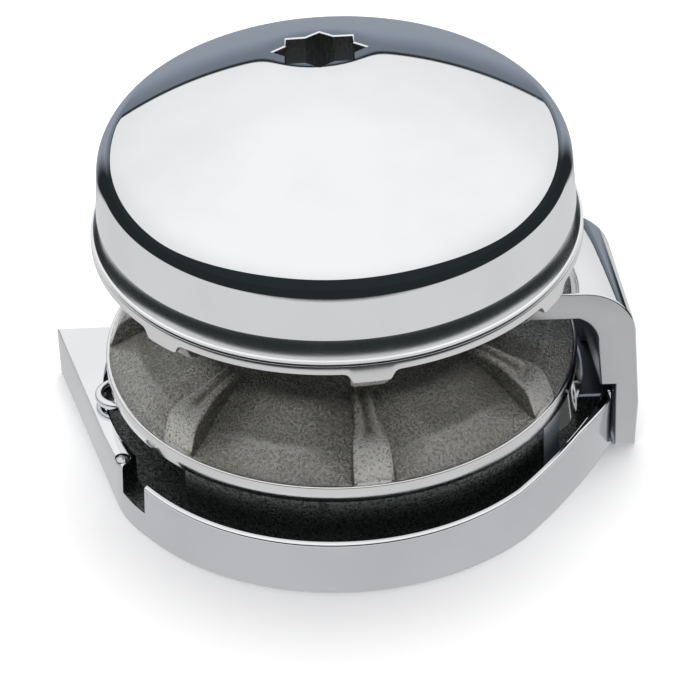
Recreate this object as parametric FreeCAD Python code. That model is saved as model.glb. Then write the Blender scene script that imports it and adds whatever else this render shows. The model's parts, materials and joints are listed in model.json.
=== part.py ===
import FreeCAD, Part
import math
import os

# Low-profile vertical anchor windlass, chain only.
# Origin on the shaft axis at deck level, +Z up, the chain hood towards +X.
# Angles are counted from the front (-Y) towards +X unless a comment says otherwise.

V = FreeCAD.Vector
UP = V(0, 0, 1)

# Chain: 8 mm wire. Seven pockets take a pitch of 24 mm.
POCKETS = 7
FIRST_TOOTH = 6.7
PITCH_ANGLE = 360.0 / POCKETS

# Clearances
SEAT_GAP = 0.3
RUN_GAP = 0.05
SLIP = 0.02

# Heights that the rest is stacked on
BASE_H = 15.0
SHAFT_R = 14.0

# Chainwheel, every radius counted from its lower rim
WHEEL_Z0 = BASE_H + 5.7
WHEEL_H = 44.2
WHEEL_Z1 = WHEEL_Z0 + WHEEL_H
LOW_RIM_R = 63.0
LOW_RIM_T = 4.8
RIM_STEP = 1.3
TOP_RIM_R = LOW_RIM_R + RIM_STEP
TOP_RIM_T = 2.7
RIM_LAND = 1.0
RIM_IN_R = LOW_RIM_R - RIM_LAND
POCKET_DEPTH = 22.5
ROOT_R = RIM_IN_R - POCKET_DEPTH
RIDGE_IN = 7.0
RIDGE_R = RIM_IN_R - RIDGE_IN
RIDGE_RISE = 6.4
CHEEK_TOP_R = ROOT_R + 2.5
CHEEK_RISE = 11.7
HUB_BORE_R = 20.0
LUG_DEPTH = 2.8
LUG_W = 10.9

# Base casting
FLOOR_H = 4.0
FRONT_R = LOW_RIM_R + 8.6
FRONT_BULGE = 2.5
BACK_R = LOW_RIM_R + 3.0
WELL_R = BACK_R - 2.0
WALL_T = 2.9
TOP_BEVEL = 0.8
PLATE_BACK_Y = 24.5
PLATE_REACH = 15.0
NOTCH_FLOOR = 7.0
DRUM_R = LOW_RIM_R - 1.0
DRUM_T = 3.0
DRUM_TOP = WHEEL_Z0 - 0.5
BOSS_R = 26.0
BOSS_TOP = BASE_H + 1.5
BUSH_T = 4.0
BEARING_R = SHAFT_R + BUSH_T
RELIEF_R = BEARING_R + 5.5
RELIEF_H = 5.0
STUD_PCD = 92.0
STUD_R = 4.0
STUD_BOSS_R = 8.0
STUD_BOSS_H = 14.0
STUD_DEPTH = 11.0

# Shaft
SHAFT_BOTTOM = 1.0
NOSE_R = 12.0
NOSE_H = 16.2
COLLAR_R = 22.0
COLLAR_T = 2.5
WASHER_T = 1.5
DRIVE_R = 8.0
DRIVE_DEPTH = 22.0
KEY_W = 6.0
KEY_IN = 11.5
KEY_OUT = 16.5
CLIP_T = 1.4
CLIP_GROOVE_R = 12.8

# Clutch cones
CONE_R = ROOT_R + 0.1
CONE_SLOPE = 0.35
LOW_CONE_H = 10.7
TOP_CONE_H = 9.0

# Ratchet
RATCHET_R = LOW_RIM_R - 14.5
RATCHET_IN_R = RATCHET_R - 6.5
RATCHET_T = 5.0
NOTCHES = 12
NOTCH_W = 7.4
NOTCH_ROOT_R = RATCHET_R - 4.2
RATCHET_SCREW_R = 2.0
RATCHET_SCREW_PCR = RATCHET_R - 3.3

# Pawl
PIVOT_R = RATCHET_R + 9.5
PIVOT_ANGLE = -125.0
EYE_PLACE_R = LOW_RIM_R - 2.3
EYE_ANGLE = -81.2
PAWL_Z = BASE_H + 0.6
PAWL_T = 3.0
EYE_R = 6.3
EYE_HOLE_R = 4.0
EYE_T = 2.4
EYE_BEVEL = 0.7
PIN_R = 3.5
PAWL_BORE_R = 5.0
NOSE_ANGLE = 170.0
NOSE_REACH_R = NOTCH_ROOT_R + 2.3
NOSE_W = 5.2
PAWL_SWING = 5.5

# Hood, placed outside the rims and between the teeth
HOOD_Y0 = -17.3
HOOD_LEAN = V(-4.0, 37.3, 0)
HOOD_T = 8.5
HOOD_RISE = 6.65
HOOD_CLEAR_R = ROOT_R + 12.0
LEG_IN_X = LOW_RIM_R + 9.0
LEG_T = 6.3
LEG_FOOT_T = 5.6
LEG_STEP = 3.8
LEG_STEP_Z = BASE_H + 5.2
HOOD_ROUND = 14.0

# Cap, sized from the wheel's upper rim
CAP_R = TOP_RIM_R - 0.3
CAP_LIP_Z = WHEEL_Z1 + SEAT_GAP
CAP_LIP_H = 1.3
FLARE_H = 4.1
WALL_IN = 1.6
WALL_TAPER = 1.1
SHOULDER_IN = 6.4
DOME_R = 118.0
CAP_H = 41.3
CAP_TOP = CAP_LIP_Z + CAP_H
CAP_T = 5.0
STAR_POS = V(-2.8, 21.5, 0)
STAR_SQUARE = 17.5
STAR_DEPTH = 20.0
STAR_FLOOR = CAP_TOP - STAR_DEPTH
STAR_WALL = 7.5
CAP_BOSS_R = 20.0


def polar(r, angle, z=0.0):
    a = math.radians(angle)
    return V(r * math.sin(a), -r * math.cos(a), z)


PIVOT = polar(PIVOT_R, PIVOT_ANGLE)
EYE = polar(EYE_PLACE_R, EYE_ANGLE)


def spin(points):
    wire = Part.makePolygon([V(r, 0, z) for r, z in points + points[:1]])
    return Part.Face(wire).revolve(V(), UP, 360)


def disc(r, z0, z1, at=V()):
    return Part.makeCylinder(r, z1 - z0, V(at.x, at.y, z0))


def ring(r_out, r_in, z0, z1, at=V()):
    return disc(r_out, z0, z1, at).cut(disc(r_in, z0 - 1, z1 + 1, at))


def prism(points, z0, z1):
    wire = Part.makePolygon([V(x, y, z0) for x, y in points + points[:1]])
    return Part.Face(wire).extrude(V(0, 0, z1 - z0))


def block(x0, x1, y0, y1, z0, z1):
    return Part.makeBox(x1 - x0, y1 - y0, z1 - z0, V(x0, y0, z0))


def turned(shape, angle):
    copy = shape.copy()
    copy.rotate(V(), UP, angle)
    return copy


def arc(a, b, c):
    return Part.Arc(a, b, c).toShape()


def line(a, b):
    return Part.makeLine(a, b)


# Base

def hood_face_x(y):
    """X of the leg's inner face at a given Y."""
    return LEG_IN_X + HOOD_LEAN.x * (y - HOOD_Y0) / HOOD_LEAN.y


def base_outline():
    """Plan outline: sharp left corner, bend, round front, hood seat, round back."""
    seat0, seat1 = -13.0, 18.0
    left = V(-LOW_RIM_R - PLATE_REACH, PLATE_BACK_Y)
    bend0 = polar(FRONT_R - 2.2, -61.5)
    front0 = polar(FRONT_R, -47.3)
    front1 = polar(FRONT_R, 40.0)
    tip = polar(FRONT_R + 1.4, 76.8)
    step = V(hood_face_x(seat0) - 0.9, seat0)
    pad0 = V(hood_face_x(seat0) - SEAT_GAP, seat0)
    pad1 = V(hood_face_x(seat1) - SEAT_GAP, seat1)
    side = math.sqrt(BACK_R ** 2 - PLATE_BACK_Y ** 2)
    back0 = V(side, PLATE_BACK_Y)
    back1 = V(-side, PLATE_BACK_Y)
    edges = [line(left, bend0),
             arc(bend0, polar(FRONT_R - 0.6, -54.6), front0),
             arc(front0, V(0, -FRONT_R - FRONT_BULGE), front1),
             arc(front1, polar(FRONT_R - 1.6, 59.4), tip),
             line(tip, step), line(step, pad0), line(pad0, pad1), line(pad1, back0),
             arc(back0, V(0, BACK_R), back1),
             line(back1, left)]
    return Part.Face(Part.Wire(edges))


def bevelled_block(outline):
    """The outline raised to full height, with its top edge broken all round."""
    block_body = outline.extrude(V(0, 0, BASE_H))
    rim = [e for e in block_body.Edges if e.BoundBox.ZMin > BASE_H - 0.01]
    return block_body.makeChamfer(TOP_BEVEL, rim)


def well_cut(outline):
    """The open well: round in the middle, following the thin wall at the front."""
    well = disc(WELL_R, FLOOR_H, BASE_H + 1)
    inner = outline.makeOffset2D(-WALL_T)
    inner.translate(V(0, 0, FLOOR_H))
    front = inner.extrude(V(0, 0, BASE_H))
    zone = block(-WELL_R + 11.0, FRONT_R + 8.0, -FRONT_R - 8.0, -14.5, 0, BASE_H + 10)
    return well.fuse(front.common(zone))


def notch_cut():
    """Gap between the left plate's end and the start of the front wall."""
    corners = [polar(WELL_R, -59.1), polar(FRONT_R + 8.5, -53.6), polar(FRONT_R + 9.0, -46.0),
               polar(FRONT_R, -47.7), polar(WELL_R, -50.8)]
    return prism([(p.x, p.y) for p in corners], NOTCH_FLOOR, BASE_H + 1)


def stud_spots():
    half = STUD_PCD / 2 * math.sqrt(0.5)
    return [V(sx * half, sy * half, 0) for sx in (-1, 1) for sy in (-1, 1)]


def drum_wall():
    """Polished wall under the wheel, open at the left for the pawl and at the hood."""
    wall = ring(DRUM_R, DRUM_R - DRUM_T, FLOOR_H - 1, DRUM_TOP)
    reach = 2 * DRUM_R
    a, b = polar(reach, -42), polar(reach, 66)
    fan = prism([(0, 0), (a.x, a.y), (0, -reach), (b.x, b.y)], 0, DRUM_TOP + 1)
    return wall.common(fan)


def chain_pipe():
    """Oblong hole through the floor below the hood, where the chain drops."""
    half_w = 7.5
    y0, y1 = -9.0, 13.0
    x = LOW_RIM_R - 9.5
    slot = block(x - half_w, x + half_w, y0, y1, -1, BASE_H + 1)
    ends = [disc(half_w, -1, BASE_H + 1, V(x, y0)), disc(half_w, -1, BASE_H + 1, V(x, y1))]
    return slot.fuse(ends)


def stop_screw_spot():
    return polar(FRONT_R - 3.8, -59.6)


def base_plate():
    outline = base_outline()
    body = bevelled_block(outline).cut(well_cut(outline)).cut(notch_cut())
    body = body.fuse([disc(BOSS_R, 0, BOSS_TOP), drum_wall(), disc(2 * PIN_R, 0, PAWL_Z - SEAT_GAP, PIVOT)])
    body = body.fuse([disc(STUD_BOSS_R, 0, STUD_BOSS_H, p) for p in stud_spots()])
    body = body.cut([disc(STUD_R, -1, STUD_DEPTH, p) for p in stud_spots()])
    body = body.cut([disc(BEARING_R, -1, BOSS_TOP + 1), disc(RELIEF_R, -1, RELIEF_H), chain_pipe()])
    body = body.cut(disc(PIN_R + SLIP, 5.0, BASE_H + 5, PIVOT))
    spot = stop_screw_spot()
    body = body.cut([disc(2.2, BASE_H - 1.2, BASE_H + 1, spot), disc(1.2 + SLIP, NOTCH_FLOOR, BASE_H, spot)])
    for y in HOOD_SCREW_Y:
        body = body.cut([hood_screw_hole(y), hood_spot_face(y)])
    return body.removeSplitter()


def shaft_bush():
    return ring(BEARING_R - SLIP, SHAFT_R + RUN_GAP, RELIEF_H + 0.2, 12.5)


def shaft_seal():
    body = ring(BEARING_R - SLIP, SHAFT_R + RUN_GAP, 12.5, BOSS_TOP - 0.2)
    return body.cut(ring(BEARING_R - 1.2, SHAFT_R + 1.2, BOSS_TOP - 2.0, BOSS_TOP))


def thrust_washer():
    return ring(BOSS_R - 2, SHAFT_R + SEAT_GAP, BOSS_TOP, BOSS_TOP + WASHER_T)


def stop_screw():
    spot = stop_screw_spot()
    head = Part.makeSphere(1.9, spot + V(0, 0, BASE_H - 1.2)).common(disc(3, BASE_H - 1.2, BASE_H + 2, spot))
    slot = block(spot.x - 3, spot.x + 3, spot.y - 0.25, spot.y + 0.25, BASE_H + 0.1, BASE_H + 2)
    return head.fuse(disc(1.2, 8.0, BASE_H - 1.1, spot)).cut(slot)


# Hood

HOOD_SCREW_Y = (-6.0, 12.0)
HOOD_SCREW_Z = 9.0
HOOD_SCREW_R = 2.5
HOOD_WALL_T = 6.0
HOOD_HEAD_T = 3.0
HOOD_HEAD_R = 4.2
HEX_R = 2.2


def groove_mid():
    """Height of the middle of the wheel's groove."""
    return (WHEEL_Z0 + LOW_RIM_T + WHEEL_Z1 - TOP_RIM_T) / 2


HOOD_TOP = groove_mid() + HOOD_RISE
HOOD_UNDER = HOOD_TOP - HOOD_T


def lean_turn(shape, y):
    """Turn a shape drawn along +X at height y so that it meets the leaning leg squarely."""
    angle = -math.degrees(math.atan2(HOOD_LEAN.x, HOOD_LEAN.y))
    shape.rotate(V(hood_face_x(y), y, HOOD_SCREW_Z), UP, angle)
    return shape


def along_x(r, x0, x1, y):
    return Part.makeCylinder(r, x1 - x0, V(x0, y, HOOD_SCREW_Z), V(1, 0, 0))


def hood_screw_hole(y):
    x = hood_face_x(y)
    return lean_turn(along_x(HOOD_SCREW_R + 0.2, x - 11, x + 1, y), y)


def hood_tapping(y):
    x = hood_face_x(y)
    return lean_turn(along_x(HOOD_SCREW_R + SLIP, x - 1, x + 3.2, y), y)


def hood_spot_face(y):
    x = hood_face_x(y)
    return lean_turn(along_x(HOOD_HEAD_R + 0.4, x - HOOD_WALL_T - 8.0, x - HOOD_WALL_T, y), y)


def hex_prism(x, y, depth):
    corners = []
    for i in range(6):
        a = math.radians(60 * i)
        corners.append(V(x, y + HEX_R * math.cos(a), HOOD_SCREW_Z + HEX_R * math.sin(a)))
    return Part.Face(Part.makePolygon(corners + corners[:1])).extrude(V(depth, 0, 0))


def hood_screw(y):
    x = hood_face_x(y)
    head_x = x - HOOD_WALL_T - HOOD_HEAD_T
    head = along_x(HOOD_HEAD_R, head_x, head_x + HOOD_HEAD_T, y)
    shank = along_x(HOOD_SCREW_R, head_x, x + 3.0, y)
    return lean_turn(head.fuse(shank).cut(hex_prism(head_x - 1, y, 2.8)), y)


def hood_screws():
    return Part.Compound([hood_screw(y) for y in HOOD_SCREW_Y])


def chain_hood():
    """Arch on a single leg, drawn as its front face and carried back along the lean."""
    def p(x, z):
        return V(x, HOOD_Y0, z)
    left = HOOD_CLEAR_R - 7.5
    crown = p(LEG_IN_X - 8.0, HOOD_TOP - 0.3)
    side = p(LEG_IN_X + LEG_T - 1.0, HOOD_TOP - HOOD_ROUND)
    knee = p(LEG_IN_X + LEG_T, HOOD_SCREW_Z + 5.0)
    step = LEG_IN_X - LEG_STEP
    inner_low = p(step - 1.0, HOOD_UNDER - 8.0)
    inner_top = p(step - 6.0, HOOD_UNDER)
    edges = [line(p(left, HOOD_TOP), crown),
             arc(crown, p(LEG_IN_X + 1.6, HOOD_TOP - 4.6), side),
             line(side, knee),
             line(knee, p(LEG_IN_X + LEG_FOOT_T, 0)),
             line(p(LEG_IN_X + LEG_FOOT_T, 0), p(LEG_IN_X, 0)),
             line(p(LEG_IN_X, 0), p(LEG_IN_X, LEG_STEP_Z)),
             line(p(LEG_IN_X, LEG_STEP_Z), p(step, LEG_STEP_Z)),
             line(p(step, LEG_STEP_Z), inner_low),
             arc(inner_low, p(step - 2.2, HOOD_UNDER - 3.1), inner_top),
             line(inner_top, p(left, HOOD_UNDER)),
             line(p(left, HOOD_UNDER), p(left, HOOD_TOP))]
    body = Part.Face(Part.Wire(edges)).extrude(HOOD_LEAN)
    body = body.cut(disc(HOOD_CLEAR_R, HOOD_UNDER - 12, HOOD_TOP + 10))
    holes = [disc(STRIPPER_SCREW_R + SLIP, HOOD_UNDER - 1, HOOD_UNDER + 5.5, p) for p in stripper_spots()]
    return body.cut(holes + [hood_tapping(y) for y in HOOD_SCREW_Y])


# Chain stripper

STRIPPER_Y = 1.0
STRIPPER_SCREW_R = 2.0
STRIPPER_SCREW_Y = 3.6
STRIPPER_T = 3.0
STRIPPER_W = 14.4
NOSE_HALF_W = 3.5
STRIPPER_NOSE_X = ROOT_R + 2.1
PAD_X0 = HOOD_CLEAR_R - 1.5
PAD_X1 = PAD_X0 + 9.2


def stripper_spots():
    x = PAD_X1 - 3.4
    return [V(x, STRIPPER_Y - STRIPPER_SCREW_Y, 0), V(x, STRIPPER_Y + STRIPPER_SCREW_Y, 0)]


def chain_stripper():
    half = STRIPPER_W / 2
    y0, y1 = STRIPPER_Y - NOSE_HALF_W, STRIPPER_Y + NOSE_HALF_W
    pad = block(PAD_X0, PAD_X1, STRIPPER_Y - half, STRIPPER_Y + half, HOOD_UNDER - STRIPPER_T, HOOD_UNDER)
    nose = block(STRIPPER_NOSE_X, PAD_X0 + 4.0, y0, y1, HOOD_UNDER - 1.4, HOOD_UNDER)
    lip = block(STRIPPER_NOSE_X, HOOD_CLEAR_R - 0.6, y0, y1, HOOD_UNDER - 1.0, HOOD_UNDER + 4.8)
    body = pad.fuse([nose, lip])
    x = STRIPPER_NOSE_X
    ramp_plan = [(x - 1, y0 - 0.5), (x + 4.4, y0 - 0.5), (x - 1, STRIPPER_Y)]
    ramp = prism(ramp_plan, HOOD_UNDER - 10, HOOD_UNDER + 15)
    body = body.cut(ramp)
    holes = [disc(STRIPPER_SCREW_R + 0.2, HOOD_UNDER - 10, HOOD_UNDER + 10, p) for p in stripper_spots()]
    return body.cut(holes).removeSplitter()


def stripper_screw(at):
    under = HOOD_UNDER - STRIPPER_T
    head = disc(STRIPPER_SCREW_R + 1.2, under - 2.0, under, at)
    body = head.fuse(disc(STRIPPER_SCREW_R, under - 2.0, HOOD_UNDER + 5.0, at))
    slot = block(at.x - 5, at.x + 5, at.y - 0.45, at.y + 0.45, under - 3, under - 1.2)
    return body.cut(slot)


def stripper_screws():
    return Part.Compound([stripper_screw(p) for p in stripper_spots()])


# Shaft

COLLAR_Z = BOSS_TOP + WASHER_T + SEAT_GAP
LOW_CONE_Z = COLLAR_Z + COLLAR_T
TOP_CONE_Z = WHEEL_Z1 - SEAT_GAP
SHOULDER_Z = TOP_CONE_Z + WASHER_T - SEAT_GAP
NOSE_TOP = SHOULDER_Z + NOSE_H
LOW_KEY = (LOW_CONE_Z + 0.4, LOW_CONE_Z + LOW_CONE_H - 0.4)
TOP_KEY = (TOP_CONE_Z - TOP_CONE_H + 0.4, TOP_CONE_Z - 0.6)
KEY_SPANS = (LOW_KEY, TOP_KEY)
CLIP_Z = RELIEF_H - SEAT_GAP - 2 * CLIP_T


def key_block(spare=0.0, z0=0.0, z1=0.0):
    half = KEY_W / 2 + spare
    return block(KEY_IN, KEY_OUT + spare, -half, half, z0, z1)


def main_shaft():
    nose_end = Part.makeCone(NOSE_R, NOSE_R - 1.5, 1.5, V(0, 0, NOSE_TOP - 1.5))
    body = disc(SHAFT_R, SHAFT_BOTTOM, SHOULDER_Z)
    nose = disc(NOSE_R, SHOULDER_Z - 1, NOSE_TOP - 1.5)
    body = body.fuse([nose, nose_end, disc(COLLAR_R, COLLAR_Z, LOW_CONE_Z)])
    body = body.cut([disc(DRIVE_R, 0, SHAFT_BOTTOM + DRIVE_DEPTH),
                     block(0, DRIVE_R + 2.2, -2.5, 2.5, 0, SHAFT_BOTTOM + DRIVE_DEPTH),
                     ring(SHAFT_R + 1, CLIP_GROOVE_R, CLIP_Z - SLIP, CLIP_Z + CLIP_T)])
    return body.cut([key_block(SLIP, z0 - SLIP, z1 + SLIP) for z0, z1 in KEY_SPANS]).removeSplitter()


def cone_keys():
    return Part.Compound([key_block(0.0, z0, z1) for z0, z1 in KEY_SPANS])


def lower_cone():
    top = LOW_CONE_Z + LOW_CONE_H
    body = spin([(SHAFT_R + SLIP, LOW_CONE_Z), (CONE_R, LOW_CONE_Z),
                 (CONE_R - CONE_SLOPE * LOW_CONE_H, top), (SHAFT_R + SLIP, top)])
    return body.cut(key_block(SLIP, LOW_CONE_Z - 1, top + 1))


def upper_cone():
    low = TOP_CONE_Z - TOP_CONE_H
    body = spin([(SHAFT_R + RUN_GAP, low), (CONE_R - CONE_SLOPE * TOP_CONE_H, low),
                 (CONE_R, TOP_CONE_Z), (SHAFT_R + RUN_GAP, TOP_CONE_Z)])
    return body.cut(key_block(0.1, low - 1, TOP_CONE_Z + 1))


def thrust_ring():
    body = ring(CAP_BOSS_R + 1, SHAFT_R + RUN_GAP, TOP_CONE_Z, TOP_CONE_Z + WASHER_T)
    return body.cut(key_block(0.1, TOP_CONE_Z - 1, TOP_CONE_Z + WASHER_T + 1))


def shaft_circlip():
    body = ring(SHAFT_R + 3, CLIP_GROOVE_R + 0.05, CLIP_Z, CLIP_Z + CLIP_T)
    return body.cut(block(-4, 4, 0, 30, 0, 10))


def shaft_washer():
    return ring(COLLAR_R, SHAFT_R + 0.1, CLIP_Z + CLIP_T, CLIP_Z + 2 * CLIP_T)


# Chainwheel

GROOVE_MID = groove_mid()
CHEEK_Z = WHEEL_Z0 + LOW_RIM_T - 0.2
BUSH_Z0 = LOW_CONE_Z + LOW_CONE_H + 0.5
BUSH_Z1 = TOP_CONE_Z - TOP_CONE_H - 0.5


def mirrored(z):
    return 2 * GROOVE_MID - z


def low_seat_r(z):
    """Radius of the wheel's lower cone seat at height z."""
    return CONE_R + SEAT_GAP * math.sqrt(1 + CONE_SLOPE ** 2) - CONE_SLOPE * (z - LOW_CONE_Z)


def top_seat_r(z):
    """Radius of the wheel's upper cone seat at height z."""
    return CONE_R + SEAT_GAP * math.sqrt(1 + CONE_SLOPE ** 2) - CONE_SLOPE * (TOP_CONE_Z - z)


def wheel_blank():
    """Turned shape: two cheeks whose faces rise from the rims to the root."""
    rim_z = WHEEL_Z0 + LOW_RIM_T
    low = [(HUB_BORE_R, BUSH_Z0), (low_seat_r(BUSH_Z0), BUSH_Z0), (low_seat_r(WHEEL_Z0), WHEEL_Z0),
           (LOW_RIM_R, WHEEL_Z0), (LOW_RIM_R, rim_z - 0.4), (LOW_RIM_R - 0.4, rim_z), (RIM_IN_R, CHEEK_Z)]
    cheek = [(RIM_IN_R, CHEEK_Z), (RIDGE_R, CHEEK_Z + RIDGE_RISE), (CHEEK_TOP_R, CHEEK_Z + CHEEK_RISE),
             (ROOT_R, CHEEK_Z + CHEEK_RISE + 0.6)]
    high = [(r, mirrored(z)) for r, z in reversed(cheek)]
    top = [(TOP_RIM_R, WHEEL_Z1 - TOP_RIM_T), (TOP_RIM_R, WHEEL_Z1), (top_seat_r(WHEEL_Z1), WHEEL_Z1),
           (top_seat_r(BUSH_Z1), BUSH_Z1), (HUB_BORE_R, BUSH_Z1)]
    return spin(low + cheek[1:] + high + top)


def hip_cut(side):
    """Wedge above the side slope of a pocket, beside a tooth drawn along +X."""
    foot = V(RIM_IN_R - 0.3, side * 6.2, CHEEK_Z)
    ridge_end = V(RIDGE_R * math.cos(math.radians(16.2)), side * RIDGE_R * math.sin(math.radians(16.2)),
                  CHEEK_Z + RIDGE_RISE)
    hub_end = V(CHEEK_TOP_R, side * 3.0, CHEEK_Z + CHEEK_RISE - 1.6)
    normal = (foot - ridge_end).cross(hub_end - ridge_end)

    def on_plane(x, y):
        drop = normal.x * (x - ridge_end.x) + normal.y * (y - ridge_end.y)
        return V(x, y, ridge_end.z - drop / normal.z)
    near, far = ROOT_R + 0.8, RIM_IN_R + 2.5
    corners = [on_plane(near, 0), on_plane(far, 0), on_plane(far, side * 22), on_plane(near, side * 14)]
    slab = Part.Face(Part.makePolygon(corners + corners[:1])).extrude(V(0, 0, 12))
    return slab.common(ring(RIM_IN_R - 0.1, ROOT_R + 0.8, CHEEK_Z, GROOVE_MID - 6.0))


def tooth():
    """One lower tooth along +X: blunt block at the rim, twin ridges towards the root."""
    side_view = [(ROOT_R - 1.5, CHEEK_Z + 9), (ROOT_R - 1.5, CHEEK_Z + 13.6), (ROOT_R + 6.5, CHEEK_Z + 13.0),
                 (RIM_IN_R - 4.0, CHEEK_Z + 9.0), (RIM_IN_R - 1.6, CHEEK_Z + 6.4), (RIM_IN_R, CHEEK_Z + 1.4),
                 (RIM_IN_R, CHEEK_Z - 2), (RIDGE_R, CHEEK_Z - 2)]
    wire = Part.makePolygon([V(x, -8, z) for x, z in side_view + side_view[:1]])
    blank = Part.Face(wire).extrude(V(0, 16, 0))
    half = [(ROOT_R - 3.5, 2.6), (ROOT_R + 6.5, 2.8), (RIDGE_R - 3.0, 4.0), (RIDGE_R + 1.0, 5.0),
            (RIM_IN_R + 2.0, 5.4)]
    plan = [(x, -y) for x, y in half] + half[::-1]
    body = blank.common(prism(plan, 0, 60))
    groove = [V(30, -0.9, 60), V(30, 0, CHEEK_Z + 11.4), V(30, 0.9, 60)]
    cut = Part.Face(Part.makePolygon(groove + groove[:1])).extrude(V(RIDGE_R - 31.5, 0, 0))
    return body.cut(cut)


def lug():
    """Thickening of the upper rim over each tooth."""
    z_top, z_rim = WHEEL_Z1 - 0.5, WHEEL_Z1 - TOP_RIM_T
    z_low = z_rim - LUG_DEPTH
    x = RIDGE_R - 5.0
    side = [(LUG_W / 2 - 0.4, z_low), (LUG_W / 2 + 0.7, z_low + 1.6), (LUG_W / 2 + 2.4, z_rim),
            (LUG_W / 2 + 2.4, z_top)]
    corners = [V(x, y, z) for y, z in side] + [V(x, -y, z) for y, z in reversed(side)]
    bar = Part.Face(Part.makePolygon(corners + corners[:1])).extrude(V(20, 0, 0))
    return bar.common(ring(TOP_RIM_R, RIDGE_R + 2.0, z_low - 1, WHEEL_Z1))


def root_slot():
    """Short slot in the root of each pocket, half a pitch from the tooth."""
    slot = block(ROOT_R - 2.2, ROOT_R + 2, -5.5, 5.5, GROOVE_MID - 0.8, GROOVE_MID + 1.0)
    return turned(slot, PITCH_ANGLE / 2)


def flipped(shape):
    return shape.mirror(V(0, 0, GROOVE_MID), UP)


def chain_wheel():
    cuts, adds = [], []
    for i in range(POCKETS):
        spot = FIRST_TOOTH - 90 + i * PITCH_ANGLE
        for hip in (hip_cut(1), hip_cut(-1)):
            cuts += [turned(hip, spot), turned(flipped(hip), spot)]
        cuts.append(turned(root_slot(), spot))
        adds += [turned(tooth(), spot), turned(flipped(tooth()), spot), turned(lug(), spot)]
    body = wheel_blank().cut(cuts).fuse(adds)
    body = body.cut(disc(RATCHET_IN_R, 0, WHEEL_Z0))
    tappings = [disc(RATCHET_SCREW_R + SLIP, 10, WHEEL_Z0 + 6.3, p) for p in ratchet_spots()]
    return body.cut(tappings).removeSplitter()


def wheel_bush():
    return ring(HUB_BORE_R - SLIP, SHAFT_R + RUN_GAP, BUSH_Z0 + 0.2, BUSH_Z1 - 0.2)


# Ratchet and pawl

def ratchet_spots():
    spots = []
    for i in range(4):
        a = math.radians(NOSE_ANGLE + 180.0 / NOTCHES + 90 * i)
        spots.append(V(RATCHET_SCREW_PCR * math.cos(a), RATCHET_SCREW_PCR * math.sin(a), 0))
    return spots


def ratchet_ring():
    z0 = WHEEL_Z0 - RATCHET_T
    body = ring(RATCHET_R, RATCHET_IN_R, z0, WHEEL_Z0)
    notch = block(NOTCH_ROOT_R, RATCHET_R + 2, -NOTCH_W / 2, NOTCH_W / 2, z0 - 1, WHEEL_Z0 + 1)
    body = body.cut([turned(notch, NOSE_ANGLE + i * 360.0 / NOTCHES) for i in range(NOTCHES)])
    return body.cut([disc(RATCHET_SCREW_R + 0.2, 0, 30, p) for p in ratchet_spots()]
                    + [disc(RATCHET_SCREW_R + 1.1, z0 - 1, z0 + 2.2, p) for p in ratchet_spots()])


def ratchet_screws():
    z0 = WHEEL_Z0 - RATCHET_T
    screws = []
    for p in ratchet_spots():
        head = disc(RATCHET_SCREW_R + 0.9, z0 + 0.2, z0 + 2.2, p)
        body = head.fuse(disc(RATCHET_SCREW_R, z0 + 0.2, WHEEL_Z0 + 5.8, p))
        screws.append(body.cut(block(p.x - 4, p.x + 4, p.y - 0.4, p.y + 0.4, z0, z0 + 1.0)))
    return Part.Compound(screws)


def nose_tip():
    """Tip of the pawl's nose in the parked pose."""
    a = math.radians(NOSE_ANGLE)
    tip = V(NOSE_REACH_R * math.cos(a), NOSE_REACH_R * math.sin(a), 0) - PIVOT
    b = math.radians(-PAWL_SWING)
    return PIVOT + V(tip.x * math.cos(b) - tip.y * math.sin(b), tip.x * math.sin(b) + tip.y * math.cos(b), 0)


def pawl_lever():
    along = (EYE - PIVOT).normalize()
    across = V(-along.y, along.x, 0)
    half = 3.4
    end = EYE - along * 5
    arm = [PIVOT + across * half, end + across * half, end - across * half, PIVOT - across * half]
    body = prism([(p.x, p.y) for p in arm], PAWL_Z, PAWL_Z + PAWL_T)
    tip = nose_tip()
    a = math.radians(NOSE_ANGLE - PAWL_SWING)
    out = V(math.cos(a), math.sin(a), 0)
    tang = V(-out.y, out.x, 0)
    near, far = tang * NOSE_W * 0.5, tang * NOSE_W * 0.9
    nose = [tip + near, tip + near + out * 6, tip - far + out * 6, tip - near]
    body = body.fuse([prism([(p.x, p.y) for p in nose], PAWL_Z, PAWL_Z + PAWL_T),
                      disc(PAWL_BORE_R + 2.2, PAWL_Z, PAWL_Z + PAWL_T, PIVOT)])
    z0 = PAWL_Z + (PAWL_T - EYE_T) / 2
    z1 = z0 + EYE_T
    b = EYE_BEVEL
    eye = spin([(EYE_HOLE_R, z0 + b), (EYE_HOLE_R + b, z0), (EYE_R - b, z0), (EYE_R, z0 + b),
                (EYE_R, z1 - b), (EYE_R - b, z1), (EYE_HOLE_R + b, z1), (EYE_HOLE_R, z1 - b)])
    eye.translate(EYE)
    body = body.cut([disc(PAWL_BORE_R, 0, 40, PIVOT), disc(EYE_HOLE_R, 0, 40, EYE)]).fuse(eye)
    return body.removeSplitter()


def pawl_bush():
    return ring(PAWL_BORE_R - SLIP, PIN_R + RUN_GAP, PAWL_Z, PAWL_Z + PAWL_T, PIVOT)


def pawl_pin():
    top = PAWL_Z + PAWL_T + 1.5
    body = disc(PIN_R, 6.0, top, PIVOT)
    return body.cut(ring(PIN_R + 1, PIN_R - 0.5, top - 1.2, top - 0.4, PIVOT))


def pawl_clip():
    top = PAWL_Z + PAWL_T + 1.5
    body = ring(PIN_R + 2, PIN_R - 0.45, top - 1.15, top - 0.45, PIVOT)
    return body.cut(block(PIVOT.x - 1.2, PIVOT.x + 1.2, PIVOT.y, PIVOT.y + 10, 0, 40))


# Cap

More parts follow.
